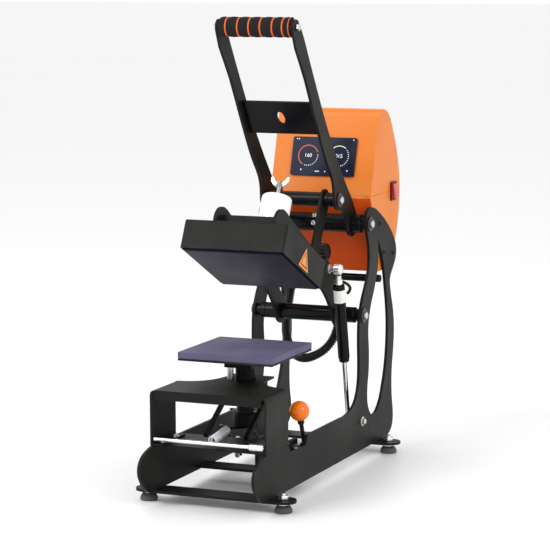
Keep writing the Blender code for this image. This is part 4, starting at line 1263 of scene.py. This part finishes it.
@dataclass
class PullHandle:
    """The two arms, their cross plate, the foam grip and the links."""

    arm_x: float = 60.25
    arm_thick: float = 4.5
    grip: Point = (0.0, -70.0, 680.0)
    bands: tuple[float, ...] = (-45.0, -26.0, -8.0, 10.0, 29.0, 45.0, 55.0)
    grip_bolt: CapBolt = CapBolt(5.6, 4.0, 1.0, 3.9, 6.0)
    link_bolt: CapBolt = CapBolt(6.4, 3.4, 2.0, 4.9, 5.0, 11.4)

    @property
    def inside(self) -> float:
        """How far a piece between the arms reaches from the middle."""
        return self.arm_x - self.arm_thick / 2.0 - CLEARANCE

    @property
    def outside(self) -> float:
        """Where a bolt's washer starts outside an arm."""
        return self.arm_x + self.arm_thick / 2.0 + CLEARANCE

    def plates(self) -> None:
        """Arms, links and cross plate."""
        for node in ("left_handle_arm", "right_handle_arm", "left_link_plate", "right_link_plate"):
            eased(node, POWDER_COAT, 0.6)
        eased("handle_cross_plate", GLOSS_PLATE, 0.6)

    def grip_sleeve(self) -> None:
        """The foam sleeve with its coloured bands, on a bar with a bolt at each end."""
        _, y, z = self.grip
        half = self.inside - 1.0
        skin = [(9.3, half), (12.6, half), (14.4, half - 0.3), (15.0, half - 0.8)]
        crowns = [*reversed(self.bands), -half]
        for middle, following in zip(crowns, crowns[1:]):
            length = middle - following - 2.6
            skin += [(14.1, middle + 1.2), (14.1, middle - 1.2)]
            skin += [(14.2 + 0.9 * math.sin(math.pi * share), middle - 1.3 - length * share)
                     for share in (0.06, 0.2, 0.35, 0.5, 0.65, 0.8, 0.94)]
        skin += [(14.0, -half + 0.5), (12.6, -half), (9.3, -half)]
        foam = Form().lathe(skin, self.grip, steps=56, bored=True)
        foam.stand_in("foam_grip", FOAM_BLACK, "foam_sleeve")
        form = Form()
        ring = mirrored([(13.6, 1.15), (14.3, 1.15), (14.6, 0.6), (14.7, 0.0)])
        for x in self.bands:
            form.lathe(ring, (x, y, z), steps=56, bored=True)
        form.done("foam_bands", FOAM_ORANGE, "handle")
        bar = mirrored([(0.0, self.inside), (9.0, self.inside)])
        form = Form().lathe(bar, self.grip, steps=40)
        for _, sign in HANDS:
            self.grip_bolt.add(form, (sign * self.outside, y, z), sign)
        form.stand_in("grip_bar", ZINC_PLATE)

    def link_shaft(self) -> None:
        """The enamelled tube between the arms, its collars, and its bolts outside them."""
        y, z = LinkGeometry().top
        end = self.inside
        side = [(0.0, end), (9.0, end), (10.4, end - 0.4), (11.0, end - 1.2), (11.0, end - 8.0),
                (10.2, end - 8.6), (10.2, end - 9.8), (11.0, end - 10.4)]
        Form().lathe(mirrored(side), (0.0, y, z), steps=56).stand_in("link_shaft", TUBE_ENAMEL)
        form = Form()
        for hand, sign in HANDS:
            face = (sign * self.outside, y, z)
            self.link_bolt.add(form, face, sign)
            self.link_bolt.ring(f"link_shaft_washer_{hand}", face, sign, "handle")
        form.done("link_shaft_bolts", ZINC_PLATE, "handle")

    def build(self) -> None:
        """Build the whole handle."""
        self.plates()
        self.grip_sleeve()
        self.link_shaft()


# ---------------------------------------------------------------- gas strut

@dataclass
class GasStrut:
    """The gas spring, from its lower eye to its ball socket, laid out along its own Z."""

    foot: Point = (68.0, 124.0, 64.0)
    head_closed: Pair = (50.0, 277.0)
    pin_reach: float = 86.2

    def rod(self, place: Matrix) -> None:
        """The chromed rod and its eye.

        Args:
            place: The strut's place.
        """
        eye = [(4.1, 4.0), (7.9, 4.0), (8.5, 3.4), (8.5, -3.4), (7.9, -4.0), (4.1, -4.0)]
        rod = [(0.0, 7.0), (3.0, 7.0), (3.6, 9.0), (3.6, 168.4), (3.0, 169.0), (0.0, 169.0)]
        form = Form(place).lathe(rod, ORIGIN, Axis.Z, 40).lathe(eye, ORIGIN, Axis.X, 40, bored=True)
        form.stand_in("strut_rod", HARD_CHROME)

    def cylinder(self, place: Matrix, length: float) -> None:
        """The tube with its label, the threaded fitting with its ball socket, and the hook.

        Args:
            place: The strut's place.
            length: The distance between its two ends.
        """
        low, high = 98.0, length - 24.0
        tube = [(4.2, low), (7.4, low), (8.1, low + 0.8), (8.1, low + 5.0), (8.7, low + 5.6), (9.0, low + 6.6),
                (9.0, high - 4.0), (8.4, high - 1.5), (6.0, high), (0.0, high), (0.0, low + 120.0),
                (4.2, low + 120.0)]
        form = Form(place).lathe(tube, ORIGIN, Axis.Z, 56, bored=True)
        form.stand_in("strut_cylinder", STRUT_PAINT, "strut_tube")
        label = [(9.05, high - 28.5), (9.25, high - 28.5), (9.25, high - 8.5), (9.05, high - 8.5)]
        form = Form(place).lathe(label, ORIGIN, Axis.Z, 56, bored=True)
        form.done("strut_label", LABEL_PAPER, "gas_cylinder")
        fitting = [(0.0, high - 0.2), (5.4, high - 0.2), (5.4, high + 2.2)]
        fitting += [(4.4 + 0.45 * (i % 2), high + 2.4 + i * 0.62) for i in range(20)]
        fitting.append((0.0, length - 9.0))
        cup = [(6.0, -5.4), (7.9, -5.4), (8.8, -4.4), (8.8, 3.0), (8.2, 5.2), (6.4, 7.0), (3.6, 8.0), (0.0, 8.3),
               (0.0, 6.6), (6.0, 4.6)]
        form = Form(place).lathe(fitting, ORIGIN, Axis.Z, 32).hexagon(7.2, 6.4, (0.0, 0.0, high + 4.6), 12.0)
        form.lathe(cup, (0.0, 0.0, length), Axis.X, 40, bored=True)
        form.done("strut_ball_socket", BRIGHT_BAR, "gas_cylinder")
        hook = [(3.0 + 12.0 * across, 8.0 - 6.0 * max(0.0, up), high - 7.5 + 11.0 * up)
                for across, up in (polar(1.0, degrees) for degrees in range(-56, 112, 8))]
        Form(place).wire(hook, 2.4).done("strut_safety_hook", NYLON, "gas_cylinder")

    def build(self) -> None:
        """Build the strut, and the pin of its foot."""
        x, y, z = self.foot
        head = about_hinge(-OPEN_ANGLE) @ Vector((0.0, *self.head_closed))
        reach = Vector((0.0, head.y - y, head.z - z))
        lean = Matrix.Rotation(math.atan2(-reach.y, reach.z), 4, "X")
        place = MACHINE @ Matrix.Translation(self.foot) @ lean
        self.rod(place)
        self.cylinder(place, reach.length)
        wall = self.pin_reach
        pin = [(0.0, wall), (6.0, wall), (6.0, x + 6.0), (5.4, x + 5.5), (3.7, x + 5.5), (3.7, x - 4.5),
               (6.0, x - 4.5), (6.5, x - 5.0), (6.5, x - 7.4), (5.9, x - 8.0), (0.0, x - 8.0)]
        Form().lathe(pin, (0.0, y, z), steps=40).stand_in("strut_lower_pin", ZINC_PLATE)


# ---------------------------------------------------------------- lower platen and its release

@dataclass
class LowerPlaten:
    """The pad, its plate and post, and the release that holds the post in its socket."""

    size: float = 150.0
    middle_y: float = -118.0
    pad_top: float = 214.0
    pad_thick: float = 9.5
    lever: tuple[Point, Point] = ((80.0, -84.0, 62.0), (80.0, -105.0, 122.0))
    spring_ends: tuple[Point, Point] = ((0.0, -246.6, 96.0), (0.0, -177.6, 103.7))
    bail_path: tuple[Point, ...] = (
        (-24.5, -84.0, 45.0), (-22.5, -86.0, 45.0), (-22.5, -112.0, 68.0), (-22.5, -138.0, 92.0),
        (-22.5, -158.0, 103.0), (-10.0, -172.0, 104.0), (0.0, -176.0, 104.0), (10.0, -172.0, 104.0),
        (22.5, -158.0, 103.0), (22.5, -138.0, 92.0), (22.5, -112.0, 68.0), (22.5, -86.0, 45.0),
        (24.5, -84.0, 45.0))

    def pad(self) -> None:
        """The silicone pad with softly rounded edges and a barely crowned face."""
        cells, crown = 12, 0.35
        shape = cube((self.size, self.size, self.pad_thick))
        flat = set(level_edges(shape))
        rounded(shape, [edge for edge in shape.edges if edge not in flat], 1.6, 3)
        rounded(shape, level_edges(shape), 0.7, 3)
        for axis in ((1, 0, 0), (0, 1, 0)):
            for i in range(1 - cells // 2, cells // 2):
                bmesh.ops.bisect_plane(shape, geom=shape.verts[:] + shape.edges[:] + shape.faces[:],
                                       plane_co=Vector(axis) * (i * self.size / cells), plane_no=axis)
        for vert in shape.verts:
            if vert.co.z > self.pad_thick / 2.0 - 0.1:
                outward = max(abs(vert.co.x), abs(vert.co.y)) / (self.size / 2.0)
                vert.co.z -= crown * outward ** 4
        form = Form().take(shape, (0.0, self.middle_y, self.pad_top - self.pad_thick / 2.0))
        form.stand_in("silicone_pad", SILICONE)

    def post(self) -> None:
        """The plate, the socket block with its collar, and the bright guide sleeve."""
        eased("lower_platen", POWDER_COAT, 0.5)
        eased("platen_post", POWDER_COAT, 0.5)
        foot, top = 167.7, 186.6
        guide = [(3.6, foot), (4.6, foot), (4.8, foot + 0.4), (4.8, top - 0.4), (4.6, top), (3.6, top)]
        form = Form().lathe(guide, (-17.0, self.middle_y - 17.0, 0.0), Axis.Z, 32, bored=True)
        form.done("platen_guide_sleeve", ZINC_PLATE, "platen")

    def release(self) -> None:
        """The lever and its ball, the cranked shaft, the bail with its spring, and the socket's pin."""
        eased("release_shaft", ZINC_PLATE, 0.4)
        eased("release_lever", TUBE_ENAMEL, 0.3)
        pivot, ball = (Vector(point) for point in self.lever)
        lean = Matrix.Rotation(math.atan2(pivot.y - ball.y, ball.z - pivot.z), 4, "X")
        place = MACHINE @ Matrix.Translation(ball) @ lean
        arc = [(away, along) for along, away in (polar(15.0, degrees) for degrees in range(5, 160, 5))]
        knob = [(0.0, 15.0), *arc, (4.6, -14.9), (3.6, -14.6), (3.6, -4.0), (0.0, -4.0)]
        Form(place).lathe(knob, ORIGIN, Axis.Z, 64).stand_in("lever_ball", PHENOLIC_BALL)
        ferrule = [(3.3, -21.0), (4.6, -21.0), (5.0, -20.4), (5.0, -15.4), (4.6, -14.8), (3.3, -14.8)]
        form = Form(place).lathe(ferrule, ORIGIN, Axis.Z, 32, bored=True)
        form.done("lever_ferrule", TUBE_ENAMEL, "release")
        Form().wire(smooth_path(self.bail_path, 2.0), 1.6).stand_in("lock_bail", TUBE_ENAMEL)
        self.spring()
        pin = [(0.0, 24.9), (1.9, 24.9), (2.6, 24.2), (2.6, 13.2), (0.0, 13.2)]
        form = Form()
        for _, sign in HANDS:
            form.lathe(pin, (0.0, self.middle_y, 119.0), steps=24, turn=facing(sign))
        form.done("socket_cross_pin", ZINC_PLATE, "base")

    def spring(self) -> None:
        """The close-wound return spring, with a hook at each end."""
        start, end = (Vector(point) for point in self.spring_ends)
        along, total = (end - start).normalized(), (end - start).length
        across = Vector((1.0, 0.0, 0.0))
        upward = across.cross(along)
        turns, per_turn, coil, wire = 27, 14, 5.9, 0.92
        hook, hook_middle, hook_room = 3.4, 4.0, 9.0
        bends = [polar(hook, -200.0 + i * 20.0) for i in range(10)]
        path = [start + along * (hook_middle + a) + upward * b for a, b in bends]
        for i in range(turns * per_turn + 1):
            share = i / (turns * per_turn)
            angle = TURN * i / per_turn
            path.append(start + along * (hook_room + (total - 2.0 * hook_room) * share)
                        + (across * math.sin(angle) + upward * math.cos(angle)) * coil)
        path += [start + along * (total - hook_middle + a) + upward * b for a, b in bends]
        spring = Form().wire(path, wire, 2).done("return_spring", SPRING_WIRE, "", ["release_spring"])
        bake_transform(spring)

    def build(self) -> None:
        """Build the platen and its release."""
        self.pad()
        self.post()
        self.release()


# ---------------------------------------------------------------- heater lead

@dataclass
class HeaterLead:
    """The corrugated conduit from the head's gland to the control box."""

    radius: float = 7.3
    rib_pitch: float = 3.6
    ribs: tuple[float, ...] = (1.0, 1.0, 0.82, 0.82)
    straight_end: int = 30
    gland: Point = (23.4, 124.1, 326.3)
    route: tuple[Point, ...] = (
        (24.0, 130.5, 305.5), (26.0, 138.0, 292.0), (31.0, 149.0, 270.0), (35.0, 158.0, 242.0),
        (35.5, 164.0, 213.0), (29.0, 161.0, 187.0), (17.0, 156.0, 169.0), (0.0, 153.0, 157.5),
        (-18.0, 155.0, 152.0), (-36.0, 163.0, 154.0), (-54.0, 178.0, 166.0), (-68.0, 198.0, 188.0),
        (-74.0, 218.0, 214.0), (-75.0, 232.0, 240.0), (-72.0, 237.0, 264.0), (-70.0, 238.0, 287.4))

    def fittings(self) -> None:
        """The rubber boot between the gland and the lead, and the bushing in the control box's floor."""
        along = Vector(self.route[0]) - Vector(self.gland)
        reach = along.length
        boot = [(0.0, 5.0), (8.8, 5.0), (9.2, 6.0), (9.2, 12.0)]
        boot += [(8.6 - 0.35 * i + 0.5 * (i % 2), 13.0 + 1.6 * i) for i in range(6)]
        boot += [(7.0, reach + 3.0), (6.6, reach + 3.6), (0.0, reach + 3.6)]
        Form().lathe(boot, self.gland, Axis.Z, 40, turn=aimed(along)).done("lead_boot", NYLON, "head")
        collar = [(7.4, -5.0), (9.8, -5.0), (10.6, -4.4), (10.6, 0.0), (7.4, 0.0)]
        Form().lathe(collar, self.route[-1], Axis.Z, 40, bored=True).done("box_bushing", NYLON, "base")

    def build(self) -> None:
        """Build the conduit as a ribbed tube, and its fittings."""
        path = smooth_path(self.route, self.rib_pitch / len(self.ribs))
        form = Form().wire(path, self.radius, 6, self.ribs)
        lead = form.done("heater_lead", CONDUIT_NYLON, "", ["heater_conduit"], 60.0)
        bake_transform(lead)
        self.fittings()


# ---------------------------------------------------------------- studio

@dataclass
class Studio:
    """A pale floor, soft light and the camera."""

    camera_at: Point = (1357.06, -3190.7, 788.87)
    azimuth: float = 23.08
    pitch: float = 7.9
    roll: float = -0.25
    lens: float = 151.81
    floor_tone: str = "#f4f4f4"

    def camera(self) -> None:
        """The camera at the viewing angle."""
        data = bpy.data.cameras.new("camera")
        data.lens, data.sensor_width, data.clip_end = self.lens, 36.0, 50.0
        turn = (Matrix.Rotation(math.radians(self.azimuth), 4, "Z")
                @ Matrix.Rotation(math.radians(90.0 - self.pitch), 4, "X")
                @ Matrix.Rotation(math.radians(self.roll), 4, "Z"))
        camera = placed("camera", data)
        camera.matrix_world = Matrix.Translation(in_metres(self.camera_at)) @ turn
        bpy.context.scene.camera = camera

    def lamp(self, name: str, at: Point, size: float, power: float) -> None:
        """A square soft light, in metres, that looks at the middle of the press.

        Args:
            name: Its name.
            at: Its place.
            size: The side of its square.
            power: Its power in watts.
        """
        data = bpy.data.lights.new(name, "AREA")
        data.size, data.energy = size, power
        lamp = placed(name, data)
        lamp.location = at
        lamp.rotation_euler = (Vector((0.0, 0.0, 0.3)) - Vector(at)).to_track_quat("-Z", "Y").to_euler()

    def build(self) -> None:
        """Set up the studio."""
        shape = bmesh.new()
        bmesh.ops.create_grid(shape, x_segments=1, y_segments=1, size=30.0)
        mesh = bpy.data.meshes.new("floor")
        shape.to_mesh(mesh)
        shape.free()
        sheet = Finish("studio_floor", "frame_coat", self.floor_tone, self.floor_tone, 900.0, (0.4, 0.5))
        mesh.materials.append(sheet.build())
        placed("floor", mesh)
        world = bpy.data.worlds.new("studio")
        world.use_nodes = True
        background = world.node_tree.nodes["Background"].inputs
        background["Color"].default_value = (1.0, 1.0, 1.0, 1.0)
        background["Strength"].default_value = 1.0
        bpy.context.scene.world = world
        bpy.context.scene.view_settings.view_transform = "Standard"
        self.lamp("key", (-1.6, -2.2, 2.6), 1.6, 52.0)
        self.lamp("right", (2.6, -1.2, 1.6), 1.4, 26.0)
        self.camera()


def main() -> None:
    """Build every part of the press in order."""
    logging.basicConfig(level=logging.INFO, format="%(name)s: %(message)s")
    for part in (Studio(), HeaterLead(), Chassis(), ControlBox(), HeatingHead(), PullHandle(), GasStrut(),
                 LowerPlaten()):
        part.build()


if __name__ == "__main__":
    main()
